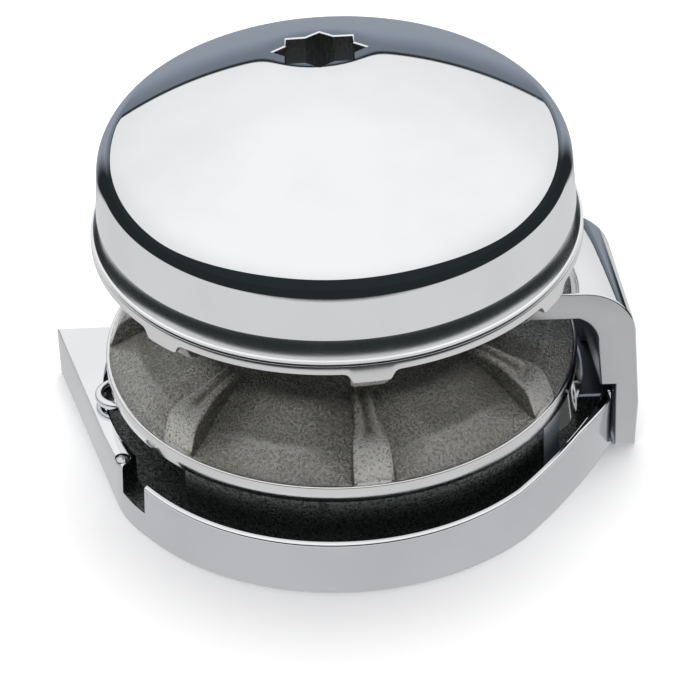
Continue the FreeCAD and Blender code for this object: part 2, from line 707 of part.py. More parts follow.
CAP_BOSS_Z = TOP_CONE_Z + WASHER_T + SEAT_GAP
SEAL_LOW = CAP_BOSS_Z + 1.5
SEAL_TOP = SEAL_LOW + 2.6
SEAL_R = NOSE_R + 2.8


def dome_z(r):
    """Height of the dome's outside at radius r."""
    return CAP_TOP - DOME_R + math.sqrt(DOME_R ** 2 - r ** 2)


def cap_shell():
    """Turned outside: thin lip, flare, tapering wall, rounded shoulder, shallow dome."""
    def p(r, z):
        return V(r, 0, z)
    edge_r = CAP_R - SHOULDER_IN
    edge_z = dome_z(edge_r)
    flare_z = CAP_LIP_Z + CAP_LIP_H
    neck_z = flare_z + FLARE_H
    neck_r = CAP_R - WALL_IN - 0.9
    wall_r = CAP_R - WALL_IN
    brow_r = wall_r - WALL_TAPER
    brow_z = edge_z - 5.5
    bore = NOSE_R + SEAT_GAP
    ceiling = CAP_TOP - 9.5
    inner = [(0, CAP_TOP), (0, NOSE_TOP + 1), (bore, NOSE_TOP + 1), (bore, SEAL_TOP), (SEAL_R, SEAL_TOP),
             (SEAL_R, SEAL_LOW), (bore, SEAL_LOW), (bore, CAP_BOSS_Z), (CAP_BOSS_R, CAP_BOSS_Z),
             (CAP_BOSS_R, ceiling), (CAP_BOSS_R + 6, ceiling),
             (CAP_R - 16, dome_z(CAP_R - 16) - CAP_T - 1.5),
             (brow_r - CAP_T - 0.5, brow_z - 4), (wall_r - CAP_T, neck_z + 1), (CAP_R - 3.2, CAP_LIP_Z),
             (CAP_R, CAP_LIP_Z), (CAP_R, flare_z - 0.3)]
    edges = [line(p(*a), p(*b)) for a, b in zip(inner, inner[1:])]
    edges += [arc(p(CAP_R, flare_z - 0.3), p(CAP_R - 1.7, flare_z + 1.7), p(neck_r, neck_z)),
              line(p(neck_r, neck_z), p(wall_r, neck_z + 0.4)),
              line(p(wall_r, neck_z + 0.4), p(brow_r, brow_z)),
              arc(p(brow_r, brow_z), p(brow_r - 0.85, edge_z - 2.1), p(edge_r, edge_z)),
              arc(p(edge_r, edge_z), p(edge_r / 2, dome_z(edge_r / 2)), p(0, CAP_TOP))]
    return Part.Face(Part.Wire(edges)).revolve(V(), UP, 360)


def star_cut():
    """Eight-point handle socket: two equal squares, one turned by an eighth of a turn."""
    half = STAR_SQUARE / 2
    top = CAP_TOP + 5
    square = block(-half, half, -half, half, STAR_FLOOR, top)
    star = square.fuse(turned(square, 45))
    star.translate(STAR_POS)
    return star


def clutch_cap():
    body = cap_shell()
    socket_wall = disc(STAR_SQUARE / 2 + STAR_WALL, STAR_FLOOR - 3.0, CAP_TOP - STAR_WALL, STAR_POS)
    return body.fuse(socket_wall).cut(star_cut()).removeSplitter()


def cap_seal():
    return ring(SEAL_R - SLIP, NOSE_R + RUN_GAP, SEAL_LOW + 0.1, SEAL_TOP - 0.1)


# Write

PIECES = {
    "base_plate": base_plate,
    "shaft_bush": shaft_bush,
    "shaft_seal": shaft_seal,
    "thrust_washer": thrust_washer,
    "chain_hood": chain_hood,
    "chain_stripper": chain_stripper,
    "stripper_screws": stripper_screws,
    "hood_screws": hood_screws,
    "pawl_pin": pawl_pin,
    "pawl_clip": pawl_clip,
    "stop_screw": stop_screw,
    "main_shaft": main_shaft,
    "lower_cone": lower_cone,
    "cone_keys": cone_keys,
    "shaft_circlip": shaft_circlip,
    "shaft_washer": shaft_washer,
    "chain_wheel": chain_wheel,
    "wheel_bush": wheel_bush,
    "ratchet_ring": ratchet_ring,
    "ratchet_screws": ratchet_screws,
    "upper_cone": upper_cone,
    "thrust_ring": thrust_ring,
    "clutch_cap": clutch_cap,
    "cap_seal": cap_seal,
    "pawl_lever": pawl_lever,
    "pawl_bush": pawl_bush,
}

os.makedirs("parts", exist_ok=True)
for name, make in PIECES.items():
    shape = make()
    shape.exportStep("parts/" + name + ".step")
    box = shape.BoundBox
    print(name, "valid", shape.isValid(), "solids", len(shape.Solids), "volume", round(shape.Volume),
          "z", round(box.ZMin, 2), round(box.ZMax, 2))
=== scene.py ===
# %% [markdown]
# # A vertical anchor windlass, dressed for the camera
# The mechanical model comes in as a fixed frame: every piece already has its size and its place.
# This script gives it what the eye looks for: true curves, soft edges and finishes.
# The scene is in metres. Sizes are written in millimetres here, and MM turns them into metres.
# The shaft is the Z axis and the deck is at Z = 0.

# %% Load the frame
import json
import math
import bmesh
import bpy
from contextlib import contextmanager
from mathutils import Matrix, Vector


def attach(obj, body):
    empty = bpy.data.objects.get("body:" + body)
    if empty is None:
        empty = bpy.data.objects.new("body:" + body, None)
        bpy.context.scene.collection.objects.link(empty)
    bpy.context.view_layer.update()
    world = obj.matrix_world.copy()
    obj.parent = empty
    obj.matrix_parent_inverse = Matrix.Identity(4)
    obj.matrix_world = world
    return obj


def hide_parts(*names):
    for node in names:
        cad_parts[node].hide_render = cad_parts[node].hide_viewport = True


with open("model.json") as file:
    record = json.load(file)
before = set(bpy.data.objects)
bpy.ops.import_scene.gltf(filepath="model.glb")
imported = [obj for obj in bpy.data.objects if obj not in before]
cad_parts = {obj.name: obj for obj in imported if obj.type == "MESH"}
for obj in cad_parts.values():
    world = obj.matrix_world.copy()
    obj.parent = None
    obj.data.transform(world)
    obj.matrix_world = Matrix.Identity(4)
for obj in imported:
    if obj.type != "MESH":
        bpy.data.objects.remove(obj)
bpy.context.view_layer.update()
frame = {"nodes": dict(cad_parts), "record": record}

nodes = frame["nodes"]
MM = 0.001
print("nodes in the frame:", len(nodes))

# %% [markdown]
# ## The camera
# The photograph looks down at the windlass from the front, with a long lens that is rolled a little.
# A camera is placed by the point that it looks at, its distance and its height angle.
# That is easier to match to a photograph than three free rotations.

# %% Camera
LOOK_AT = Vector((2.2, 0.0, 22.0)) * MM
DISTANCE = 960 * MM
HEIGHT_ANGLE = math.radians(36.73)
ROLL = math.radians(2.14)
LENS, SENSOR_WIDTH = 184.14, 36


def place_camera():
    forward = Vector((0, math.cos(HEIGHT_ANGLE), -math.sin(HEIGHT_ANGLE)))
    right = Vector((1, 0, 0))
    up = right.cross(forward)
    rolled_right = right * math.cos(ROLL) - up * math.sin(ROLL)
    rolled_up = right * math.sin(ROLL) + up * math.cos(ROLL)
    camera = bpy.data.objects.new("camera", bpy.data.cameras.new("camera"))
    bpy.context.scene.collection.objects.link(camera)
    m = camera.matrix_world.copy()
    for row in range(3):
        m[row][0] = rolled_right[row]
        m[row][1] = rolled_up[row]
        m[row][2] = -forward[row]
        m[row][3] = (LOOK_AT - forward * DISTANCE)[row]
    camera.matrix_world = m
    camera.data.lens = LENS
    camera.data.sensor_width = SENSOR_WIDTH
    camera.data.clip_start = 0.01
    camera.data.clip_end = 20
    bpy.context.scene.camera = camera


place_camera()
bpy.context.scene.view_settings.view_transform = "Standard"
print("camera at", [round(v, 3) for v in bpy.context.scene.camera.matrix_world.translation])

# %% [markdown]
# ## Small helpers for node trees
# Materials are built from nodes, and each node needs the same three lines: make it, set it, link it.
# One helper does that, so that a finish reads as a short recipe.

# %% Node helpers


def node(tree, kind, inputs=None, **settings):
    """Adds a node. inputs gives numbers or sockets by name or index."""
    n = tree.nodes.new(kind)
    for key, value in settings.items():
        setattr(n, key, value)
    for key, value in (inputs or {}).items():
        socket = n.inputs[key]
        if isinstance(value, bpy.types.NodeSocket):
            tree.links.new(value, socket)
        else:
            socket.default_value = value
    return n


def maths(tree, operation, *values, clamp=False):
    n = node(tree, "ShaderNodeMath", dict(enumerate(values)), operation=operation)
    n.use_clamp = clamp
    return n.outputs[0]


def between(tree, value, low, high, out_low=0.0, out_high=1.0):
    """Maps a value smoothly from one range to another and stops at the ends."""
    n = node(tree, "ShaderNodeMapRange", {0: value, 1: low, 2: high, 3: out_low, 4: out_high})
    n.interpolation_type = "SMOOTHSTEP"
    return n.outputs[0]


def blend(tree, amount, first, second):
    n = node(tree, "ShaderNodeMix", data_type="RGBA")
    for socket, value in ((n.inputs[0], amount), (n.inputs[6], first), (n.inputs[7], second)):
        if isinstance(value, bpy.types.NodeSocket):
            tree.links.new(value, socket)
        else:
            socket.default_value = value
    return n.outputs[2]


print("node helpers are ready")

# %% Groups and patterns


def new_group(name, inputs, outputs):
    """A shader group with named number or colour sockets."""
    group = bpy.data.node_groups.new(name, "ShaderNodeTree")
    for label, kind, value in inputs:
        socket = group.interface.new_socket(label, in_out="INPUT", socket_type=kind)
        socket.default_value = value
    for label, kind in outputs:
        group.interface.new_socket(label, in_out="OUTPUT", socket_type=kind)
    return group, node(group, "NodeGroupInput").outputs, node(group, "NodeGroupOutput").inputs


def own_place(tree):
    """Where the surface is on the piece itself, so a pattern moves with the piece."""
    return node(tree, "ShaderNodeTexCoord").outputs["Object"]


def noise(tree, place, scale, detail, roughness=0.5):
    return node(tree, "ShaderNodeTexNoise", {"Vector": place, "Scale": scale, "Detail": detail,
                                             "Roughness": roughness}).outputs[0]


def spots(tree, place, scale):
    """Distance to the nearest of many scattered points."""
    return node(tree, "ShaderNodeTexVoronoi", {"Vector": place, "Scale": scale}).outputs["Distance"]


def shaded(tree, colour, value, saturation=1.0):
    return node(tree, "ShaderNodeHueSaturation", {"Value": value, "Saturation": saturation,
                                                  "Color": colour}).outputs[0]


def relief(tree, height, strength, distance):
    return node(tree, "ShaderNodeBump", {"Strength": strength, "Distance": distance,
                                         "Height": height}).outputs[0]


def from_axis(tree, split):
    """Distance from the Z axis, from the three separate coordinates."""
    flat = node(tree, "ShaderNodeCombineXYZ", {0: split[0], 1: split[1]}).outputs[0]
    return node(tree, "ShaderNodeVectorMath", {0: flat}, operation="LENGTH").outputs["Value"]


FLOAT = "NodeSocketFloat"
COLOUR = "NodeSocketColor"
print("sockets of groups:", FLOAT, COLOUR)

# %% [markdown]
# ## The studio
# Chrome has no colour of its own: it shows the room. Here a white tent hangs over the object.
# Its hem is about 24 degrees above the horizon in front, 7 degrees at the sides and 15 degrees behind.
# Below the hem the room is nearly black, and behind the object it is slate grey.
# The world repeats that room, but only for rays that a polished surface sends out.
# The camera sees plain white and everything else gets an even, modest light.

# %% World
HEM_SIDES, HEM_FRONT_RISE, HEM_REAR_RISE, HEM_REAR_WIDTH = 0.12, 0.285, 0.145, 0.7
HEM_BLUR, HEM_BORDER = 0.008, (0.045, 0.02)
DARK_ROOM = (0.022, 0.028, 0.029, 1)
SLATE_AT_HEM, SLATE_LOW, SLATE_FADE = (0.17, 0.20, 0.235, 1), (0.285, 0.325, 0.39, 1), (0.05, 0.30)
SLATE_HEADING = (0.66, 0.80)
EVEN_LIGHT, PLAIN_WHITE = (0.50, 0.50, 0.51, 1), (1, 1, 1, 1)


def build_world():
    """Height is the Z of a ray's direction. Heading is -1 towards the front, 0 at the sides, 1 behind."""
    world = bpy.data.worlds.new("studio")
    world.use_nodes = True
    bpy.context.scene.world = world
    t = world.node_tree
    t.nodes.clear()
    ray = node(t, "ShaderNodeTexCoord").outputs["Generated"]
    x, y, height = node(t, "ShaderNodeSeparateXYZ", {0: ray}).outputs
    level = maths(t, "SQRT", maths(t, "SUBTRACT", 1.0001, maths(t, "POWER", height, 2.0)))
    heading = maths(t, "DIVIDE", y, level)

    wide = maths(t, "MULTIPLY", maths(t, "POWER", x, 2.0), HEM_REAR_WIDTH)
    rear = maths(t, "MAXIMUM", maths(t, "SUBTRACT", HEM_REAR_RISE, wide), 0.0)
    rear = maths(t, "MULTIPLY", rear, between(t, heading, 0.0, 0.5))
    front = maths(t, "MULTIPLY", between(t, heading, 0.0, -1.0), HEM_FRONT_RISE)
    hem = maths(t, "ADD", maths(t, "ADD", rear, HEM_SIDES), front)
    below = maths(t, "SUBTRACT", hem, height)

    slate = blend(t, between(t, below, *SLATE_FADE), SLATE_AT_HEM, SLATE_LOW)
    clear_of_hem = maths(t, "SUBTRACT", 1.0, between(t, below, *HEM_BORDER))
    is_slate = maths(t, "MULTIPLY", between(t, heading, *SLATE_HEADING), clear_of_hem)
    dark = blend(t, is_slate, DARK_ROOM, slate)
    sweep = between(t, height, 0.1, 0.9, 0.86, 1.0)
    bluish = maths(t, "MULTIPLY", sweep, 1.01)
    white = node(t, "ShaderNodeCombineColor", {0: sweep, 1: sweep, 2: bluish}).outputs[0]
    room = blend(t, between(t, below, HEM_BLUR, -HEM_BLUR), dark, white)

    path = node(t, "ShaderNodeLightPath").outputs
    soft = blend(t, path["Is Glossy Ray"], EVEN_LIGHT, room)
    seen = blend(t, path["Is Camera Ray"], soft, PLAIN_WHITE)
    back = node(t, "ShaderNodeBackground", {0: seen, 1: 1.0})
    node(t, "ShaderNodeOutputWorld", {0: back.outputs[0]})


build_world()
print("world nodes:", len(bpy.context.scene.world.node_tree.nodes))

# %% [markdown]
# ## Floor and lamps
# The floor is a plain pale disc. A polished surface that looks down sees it too.
# There the white sheet ends about 0.23 m from the shaft, and 0.12 m behind it, and the room beyond is dark.
# So the floor's glossy colour changes with the distance. The camera still sees white with a soft shadow.

# %% Floor and lamps
FLOOR_R = 1.6
SHEET_BACK, SHEET_EDGE = (0.104, 0.128), (0.226, 0.238)
SHEET_WHITE, SHEET_GLOW, FLOOR_PAINT = (0.83, 0.83, 0.84, 1), 0.82, (0.93, 0.93, 0.93, 1)
FLOOR_SLATE = (0.36, 0.40, 0.46, 1)


def build_floor():
    mesh = bpy.data.meshes.new("floor")
    bm = bmesh.new()
    bmesh.ops.create_circle(bm, cap_ends=True, radius=FLOOR_R, segments=96)
    bm.to_mesh(mesh)
    bm.free()
    mat = bpy.data.materials.new("floor")
    mat.use_nodes = True
    t = mat.node_tree
    t.nodes.clear()
    split = node(t, "ShaderNodeSeparateXYZ", {0: own_place(t)}).outputs
    behind = between(t, split[1], *SHEET_BACK)
    reach = from_axis(t, split)
    heading = maths(t, "DIVIDE", split[1], reach)
    beyond = blend(t, between(t, heading, *SLATE_HEADING), DARK_ROOM, FLOOR_SLATE)
    off_sheet = maths(t, "MAXIMUM", behind, between(t, reach, *SHEET_EDGE), clamp=True)
    seen = blend(t, off_sheet, SHEET_WHITE, beyond)
    path = node(t, "ShaderNodeLightPath").outputs
    matt = node(t, "ShaderNodeBsdfDiffuse", {0: FLOOR_PAINT}).outputs[0]
    glow = node(t, "ShaderNodeEmission", {0: seen, 1: SHEET_GLOW}).outputs[0]
    mixed = node(t, "ShaderNodeMixShader", {0: path["Is Glossy Ray"], 1: matt, 2: glow})
    node(t, "ShaderNodeOutputMaterial", {0: mixed.outputs[0]})
    mesh.materials.append(mat)
    floor = bpy.data.objects.new("floor", mesh)
    bpy.context.scene.collection.objects.link(floor)


def lamp(name, place, target, size, watts):
    """A round soft lamp that no polished surface shows."""
    light = bpy.data.lights.new(name, "AREA")
    light.shape = "DISK"
    light.size = size
    light.energy = watts
    o = bpy.data.objects.new(name, light)
    bpy.context.scene.collection.objects.link(o)
    o.location = place
    o.rotation_mode = "QUATERNION"
    o.rotation_quaternion = (Vector(target) - Vector(place)).to_track_quat("-Z", "Y")
    o.visible_glossy = False
    print(name, watts, "W")


build_floor()
lamp("overhead", (0.05, 0.42, 1.25), (0, 0, 0), 1.1, 16.5)
lamp("front_fill", (-0.5, -0.9, 0.8), (0, 0, 0.05), 0.8, 3.5)

# %% [markdown]
# ## Finishes that several metals share
# Polished plate is never perfect. It has a faint haze in patches, fine wiping marks and a few dull specks.
# As-cast metal has a sandy skin with pits, and its hollows are darker than its high spots.
# Each effect is a node group that gives out a colour, a roughness and a height.
# The metal that uses it keeps its own shader.

# %% Group for polished metal
PATCH_SCALE, SPECK_SCALE = 28.0, 260.0
WIPE_ROUGHNESS, SPECK_ROUGHNESS = 0.025, 0.05


def build_polish_group():
    group, inside, out = new_group(
        "polish_marks",
        [("Colour", COLOUR, (0.8, 0.8, 0.8, 1)), ("Base Roughness", FLOAT, 0.04), ("Haze", FLOAT, 0.03),
         ("Scratch Scale", FLOAT, 900.0)],
        [("Colour", COLOUR), ("Roughness", FLOAT), ("Height", FLOAT)])
    t = group
    place = own_place(t)
    patch = noise(t, place, PATCH_SCALE, 4.0)
    drawn_out = node(t, "ShaderNodeMapping", {0: place, "Rotation": (0.3, 0.2, 0.7),
                                              "Scale": (1.0, 0.06, 0.3)}).outputs[0]
    wipe = noise(t, drawn_out, inside["Scratch Scale"], 3.0)
    speck = between(t, spots(t, place, SPECK_SCALE), 0.10, 0.03)
    haze = maths(t, "MULTIPLY", between(t, patch, 0.45, 0.72), inside["Haze"])
    rough = maths(t, "ADD", inside["Base Roughness"], haze)
    rough = maths(t, "ADD", rough, maths(t, "MULTIPLY", between(t, wipe, 0.55, 0.75), WIPE_ROUGHNESS))
    rough = maths(t, "ADD", rough, maths(t, "MULTIPLY", speck, SPECK_ROUGHNESS))
    tint = blend(t, between(t, patch, 0.35, 0.7), inside["Colour"], shaded(t, inside["Colour"], 0.94))
    t.links.new(tint, out["Colour"])
    t.links.new(rough, out["Roughness"])
    t.links.new(wipe, out["Height"])
    return group


polish_marks = build_polish_group()
print("polish marks:", len(polish_marks.nodes), "nodes")

# %% Group for cast metal
PIT_SCALE, STAIN_SCALE = 1500.0, 45.0
GRAIN_SHARE, PIT_SHARE = 0.95, 0.14


def build_cast_group():
    group, inside, out = new_group(
        "cast_skin",
        [("Low Colour", COLOUR, (0.2, 0.19, 0.17, 1)), ("High Colour", COLOUR, (0.6, 0.58, 0.54, 1)),
         ("Grain Scale", FLOAT, 900.0)],
        [("Colour", COLOUR), ("Roughness", FLOAT), ("Height", FLOAT)])
    t = group
    place = own_place(t)
    grain = noise(t, place, inside["Grain Scale"], 5.0, 0.78)
    pits = spots(t, place, PIT_SCALE)
    stain = noise(t, place, STAIN_SCALE, 4.0)
    lift = maths(t, "ADD", maths(t, "MULTIPLY", grain, GRAIN_SHARE), maths(t, "MULTIPLY", pits, PIT_SHARE))
    colour = blend(t, between(t, lift, 0.43, 0.58), inside["Low Colour"], inside["High Colour"])
    colour = blend(t, between(t, stain, 0.44, 0.68), colour, shaded(t, colour, 0.90, 1.3))
    t.links.new(colour, out["Colour"])
    t.links.new(between(t, lift, 0.4, 0.75, 0.34, 0.17), out["Roughness"])
    t.links.new(lift, out["Height"])
    return group


cast_skin = build_cast_group()
print("cast skin:", len(cast_skin.nodes), "nodes")

# %% [markdown]
# ## The metals
# The cap, base, hood and pawl are mirror plated, so they share one recipe with small changes.
# Faces that a polishing wheel can't reach, such as the socket and the hood's inside, are duller, and their
# dark colour is painted shade.
# The dark finishes under the hood and on the drum under the wheel are painted shade too, and so is part of
# the well's dark cast colour.
# The chainwheel is one casting with two finishes: its rims are ground bright, its pockets are left as cast.
# A mask made from the distance to the shaft tells the two apart.

# %% Polished and turned metals


def start_material(name, metallic=1.0):
    mat = bpy.data.materials.new(name)
    mat.use_nodes = True
    t = mat.node_tree
    t.nodes.clear()
    shader = node(t, "ShaderNodeBsdfPrincipled")
    shader.inputs["Metallic"].default_value = metallic
    node(t, "ShaderNodeOutputMaterial", {0: shader.outputs[0]})
    return mat, t, shader.inputs


def polished(name, colour, rough, haze, bump, scale):
    mat, t, shader = start_material(name)
    marks = node(t, "ShaderNodeGroup", {"Colour": (*colour, 1), "Base Roughness": rough, "Haze": haze,
                                        "Scratch Scale": scale}, node_tree=polish_marks).outputs
    t.links.new(marks["Colour"], shader["Base Color"])
    t.links.new(marks["Roughness"], shader["Roughness"])
    t.links.new(relief(t, marks["Height"], bump, 0.0001), shader["Normal"])
    return mat


# Each row gives colour, roughness, haze, depth of the wiping marks and their scale.
recipes = {
    "polished_cap": ((0.90, 0.91, 0.92), 0.02, 0.03, 0.02, 900.0),
    "polished_base": ((0.88, 0.89, 0.90), 0.05, 0.06, 0.02, 900.0),
    "polished_hood": ((0.80, 0.81, 0.82), 0.06, 0.06, 0.02, 900.0),
    "polished_pawl": ((0.82, 0.83, 0.84), 0.06, 0.05, 0.02, 900.0),
    # base_side: a satin plate whose darker tint is painted shade, standing in for the object's shadow on the
    # floor that the wall reflects.
    "base_side": ((0.69, 0.705, 0.72), 0.13, 0.10, 0.06, 1200.0),
    "hood_satin": ((0.66, 0.665, 0.67), 0.34, 0.10, 0.12, 1500.0),
    # hood_inside and under_hood: dark bluish colours that are painted shade under the hood's arch.
    "hood_inside": ((0.20, 0.22, 0.27), 0.32, 0.14, 0.80, 700.0),
    "under_hood": ((0.22, 0.24, 0.28), 0.34, 0.14, 0.50, 700.0),
    # socket_metal: its dark colour is painted shade in the socket, and its roughness is the unpolished
    # finish.
    "socket_metal": ((0.42, 0.43, 0.43), 0.26, 0.12, 0.25, 1400.0),
    "flare_satin": ((0.70, 0.71, 0.71), 0.20, 0.08, 0.10, 1500.0),
    # drum_side: a dimmed bluish colour that is painted shade under the wheel's rim.
    "drum_side": ((0.60, 0.65, 0.72), 0.42, 0.14, 0.50, 700.0),
    "machined_steel": ((0.56, 0.56, 0.57), 0.22, 0.12, 0.15, 1800.0),
    "fastener_steel": ((0.66, 0.66, 0.67), 0.16, 0.10, 0.10, 2200.0),
    "cone_bronze": ((0.62, 0.45, 0.22), 0.24, 0.14, 0.15, 1600.0),
    "bearing_bronze": ((0.58, 0.41, 0.20), 0.28, 0.14, 0.15, 1600.0)}
finishes = {name: polished(name, *recipe) for name, recipe in recipes.items()}
print("polished and turned metals:", len(finishes))

# %% Cast metal and rubber
WHEEL_MID_Z, GROUND_R = 0.04385, (0.06185, 0.06215)
RIM_FROM_MID, OUTSIDE_FROM_MID = (0.0135, 0.0148), (0.0209, 0.0211)
# The first colour brightens the chain's wear and paints a highlight on it. The last number sets how dark the
# painted shade makes the hollows.
RUBBED_AND_LIT_METAL, RUBBED_ROUGHNESS, PAINTED_SHADE_VALUE = (1.0, 0.99, 0.965, 1), 0.20, 0.34


def cast_marks(tree, low, high, scale):
    return node(tree, "ShaderNodeGroup", {"Low Colour": (*low, 1), "High Colour": (*high, 1),
                                          "Grain Scale": scale}, node_tree=cast_skin).outputs


def part_way(tree, amount, first, second):
    """Mixes two numbers."""
    return node(tree, "ShaderNodeMix", {0: amount, 2: first, 3: second}).outputs[0]


def build_cast_wheel():
    mat, t, shader = start_material("cast_wheel")
    place = own_place(t)
    split = node(t, "ShaderNodeSeparateXYZ", {0: place}).outputs
    from_middle = maths(t, "ABSOLUTE", maths(t, "SUBTRACT", split[2], WHEEL_MID_Z))
    by_radius = between(t, from_axis(t, split), *GROUND_R)
    rim = maths(t, "MULTIPLY", by_radius, between(t, from_middle, *RIM_FROM_MID))
    ground = maths(t, "MAXIMUM", rim, between(t, from_middle, *OUTSIDE_FROM_MID), clamp=True)

    cast = cast_marks(t, (0.46, 0.45, 0.40), (1.0, 0.985, 0.925), 1250.0)
    wear_and_highlight = node(t, "ShaderNodeAttribute", attribute_name="wear_and_highlight").outputs["Fac"]
    painted_shade = node(t, "ShaderNodeAttribute", attribute_name="painted_shade").outputs["Fac"]
    # Wear with painted highlight: the first mask brightens the tooth's end, its two ridges and the pocket's
    # ridge.
    rubbed_and_lit = maths(t, "MULTIPLY", wear_and_highlight, between(t, noise(t, place, 1700.0, 4.0), 0.43, 0.50), clamp=True)
    colour = blend(t, rubbed_and_lit, cast["Colour"], RUBBED_AND_LIT_METAL)
    # Painted shade: the second mask darkens the root, the tooth's flanks and valley and the inner floor.
    colour = blend(t, painted_shade, colour, shaded(t, colour, PAINTED_SHADE_VALUE))

    bright = node(t, "ShaderNodeGroup", {"Colour": (0.84, 0.84, 0.84, 1), "Base Roughness": 0.12,
                                         "Haze": 0.08}, node_tree=polish_marks).outputs
    rough = part_way(t, rubbed_and_lit, cast["Roughness"], RUBBED_ROUGHNESS)
    height = maths(t, "MULTIPLY", cast["Height"], maths(t, "SUBTRACT", 1.0, ground))
    t.links.new(blend(t, ground, colour, bright["Colour"]), shader["Base Color"])
    t.links.new(part_way(t, ground, rough, bright["Roughness"]), shader["Roughness"])
    t.links.new(relief(t, height, 1.0, 0.0018), shader["Normal"])
    return mat


# The well's cast finish: its very dark colour is partly the metal's own tone and partly painted shade in the
# well under the wheel.
def build_shaded_well_cast():
    mat, t, shader = start_material("well_cast")
    cast = cast_marks(t, (0.06, 0.066, 0.065), (0.24, 0.255, 0.25), 900.0)
    t.links.new(cast["Colour"], shader["Base Color"])
    t.links.new(cast["Roughness"], shader["Roughness"])
    t.links.new(relief(t, cast["Height"], 0.5, 0.0005), shader["Normal"])
    return mat


def build_rubber():
    mat, t, shader = start_material("seal_rubber", metallic=0.0)
    dust = noise(t, own_place(t), 300.0, 4.0)
    tone = blend(t, dust, (0.012, 0.012, 0.012, 1), (0.05, 0.048, 0.045, 1))
    t.links.new(tone, shader["Base Color"])
    t.links.new(between(t, dust, 0.3, 0.7, 0.5, 0.75), shader["Roughness"])
    t.links.new(relief(t, dust, 0.3, 0.0002), shader["Normal"])
    return mat


finishes["cast_wheel"] = build_cast_wheel()
finishes["well_cast"] = build_shaded_well_cast()
finishes["seal_rubber"] = build_rubber()
for part in frame["record"]["subparts"]:
    o = nodes[part["node"]]
    o.data.materials.clear()
    o.data.materials.append(finishes[part["material_slot"]])

# %% [markdown]
# ## Helpers for meshes
# A turned piece is a list of radius and height pairs carried round the axis.
# Other solids are skins stretched over rings of points, with a lid at each end.
# A Boolean cuts or joins them, as a mill or a weld would.
# Each tool brings its finish to the faces that it leaves.
# Edges sharper than a set angle stay crisp, and everything else is shaded smooth.

# %% Solids from points


@contextmanager
def editing(mesh):
    """Opens a mesh for bmesh operations and writes it back."""
    bm = bmesh.new()
    bm.from_mesh(mesh)
    yield bm
    bm.to_mesh(mesh)
    bm.free()


def solid_of(name, verts, faces):
    """A linked object from points in millimetres, closed and with its faces outwards."""
    mesh = bpy.data.meshes.new(name)
    mesh.from_pydata([(x * MM, y * MM, z * MM) for x, y, z in verts], [], faces)
    with editing(mesh) as bm:
        bmesh.ops.remove_doubles(bm, verts=bm.verts, dist=1e-7)
        bmesh.ops.dissolve_degenerate(bm, edges=bm.edges, dist=1e-7)
        bmesh.ops.recalc_face_normals(bm, faces=bm.faces)
    o = bpy.data.objects.new(name, mesh)
    bpy.context.scene.collection.objects.link(o)
    return o


def skin(name, rings):
    """A closed solid through rings that all have the same number of points."""
    n = len(rings[0])
    verts = [point for ring in rings for point in ring]
    faces = [tuple(reversed(range(n))), tuple(range((len(rings) - 1) * n, len(rings) * n))]
    for k in range(len(rings) - 1):
        low, high = k * n, (k + 1) * n
        faces += [(low + i, low + (i + 1) % n, high + (i + 1) % n, high + i) for i in range(n)]
    return solid_of(name, verts, faces)


print("a solid is a skin over at least 2 rings")

# %% Round and lofted solids


def loft(name, loops):
    """A closed solid through plan loops, each a list of points with its height."""
    return skin(name, [[(x, y, z) for x, y in points] for points, z in loops])


def circle_in_plan(r, sides, x=0.0, y=0.0):
    turns = [2 * math.pi * i / sides for i in range(sides)]
    return [(x + r * math.cos(turn), y + r * math.sin(turn)) for turn in turns]


def upright(name, sides, *steps, x=0.0, y=0.0):
    """A round solid that stands on the plan. Each step is a radius and a height."""
    return loft(name, [(circle_in_plan(r, sides, x, y), z) for r, z in steps])


def turned_grid(profile, segments, closed_profile=True):
    """Vertices and faces of a profile carried round the Z axis."""
    verts = []
    for i in range(segments):
        a = math.radians(360.0 * i / segments)
        verts += [(r * math.sin(a), -r * math.cos(a), z) for r, z in profile]
    n = len(profile)
    faces = []
    for i in range(segments):
        j = (i + 1) % segments
        for k in range(n if closed_profile else n - 1):
            m = (k + 1) % n
            faces.append((i * n + k, j * n + k, j * n + m, i * n + m))
    return verts, faces


def straight(a, b, steps):
    """Points from a to b in even steps. The first point is left out."""
    return [(a[0] + (b[0] - a[0]) * i / steps, a[1] + (b[1] - a[1]) * i / steps) for i in range(1, steps + 1)]


print("a round of 8 sides has", len(circle_in_plan(1.0, 8)), "points")

# %% Cutting, joining and finishing


def make_plain(o):
    """Replaces the object's mesh by what its modifiers make of it, and removes them."""
    graph = bpy.context.evaluated_depsgraph_get()
    mesh = bpy.data.meshes.new_from_object(o.evaluated_get(graph))
    o.modifiers.clear()
    o.data = mesh


def boolean(o, tool, operation="DIFFERENCE"):
    m = o.modifiers.new("cut", "BOOLEAN")
    m.object = tool
    m.operation = operation
    m.solver = "EXACT"
    make_plain(o)
    bpy.data.objects.remove(tool)


def need_slots(mesh, count):
    while len(mesh.materials) < count:
        mesh.materials.append(None)


def mark_faces(o, index, where=None):
    """Gives faces a finish number, all of them or those for which where(centre, normal) is true."""
    need_slots(o.data, 5)
    for f in o.data.polygons:
        if where is None or where(f.center / MM, f.normal):
            f.material_index = index


def cut(o, mark, *tools):
    for tool in tools:
        mark_faces(tool, mark)
        boolean(o, tool)


def join(o, mark, *solids):
    for solid in solids:
        mark_faces(solid, mark)
        boolean(o, solid, "UNION")


def smooth(mesh, sharp_degrees):
    mesh.shade_smooth()
    mesh.set_sharp_from_angle(angle=math.radians(sharp_degrees))


def give_finishes(mesh, *names):
    """Sets the finishes by number. Each face keeps its own number."""
    need_slots(mesh, len(names))
    for i, name in enumerate(names):
        mesh.materials[i] = finishes[name]


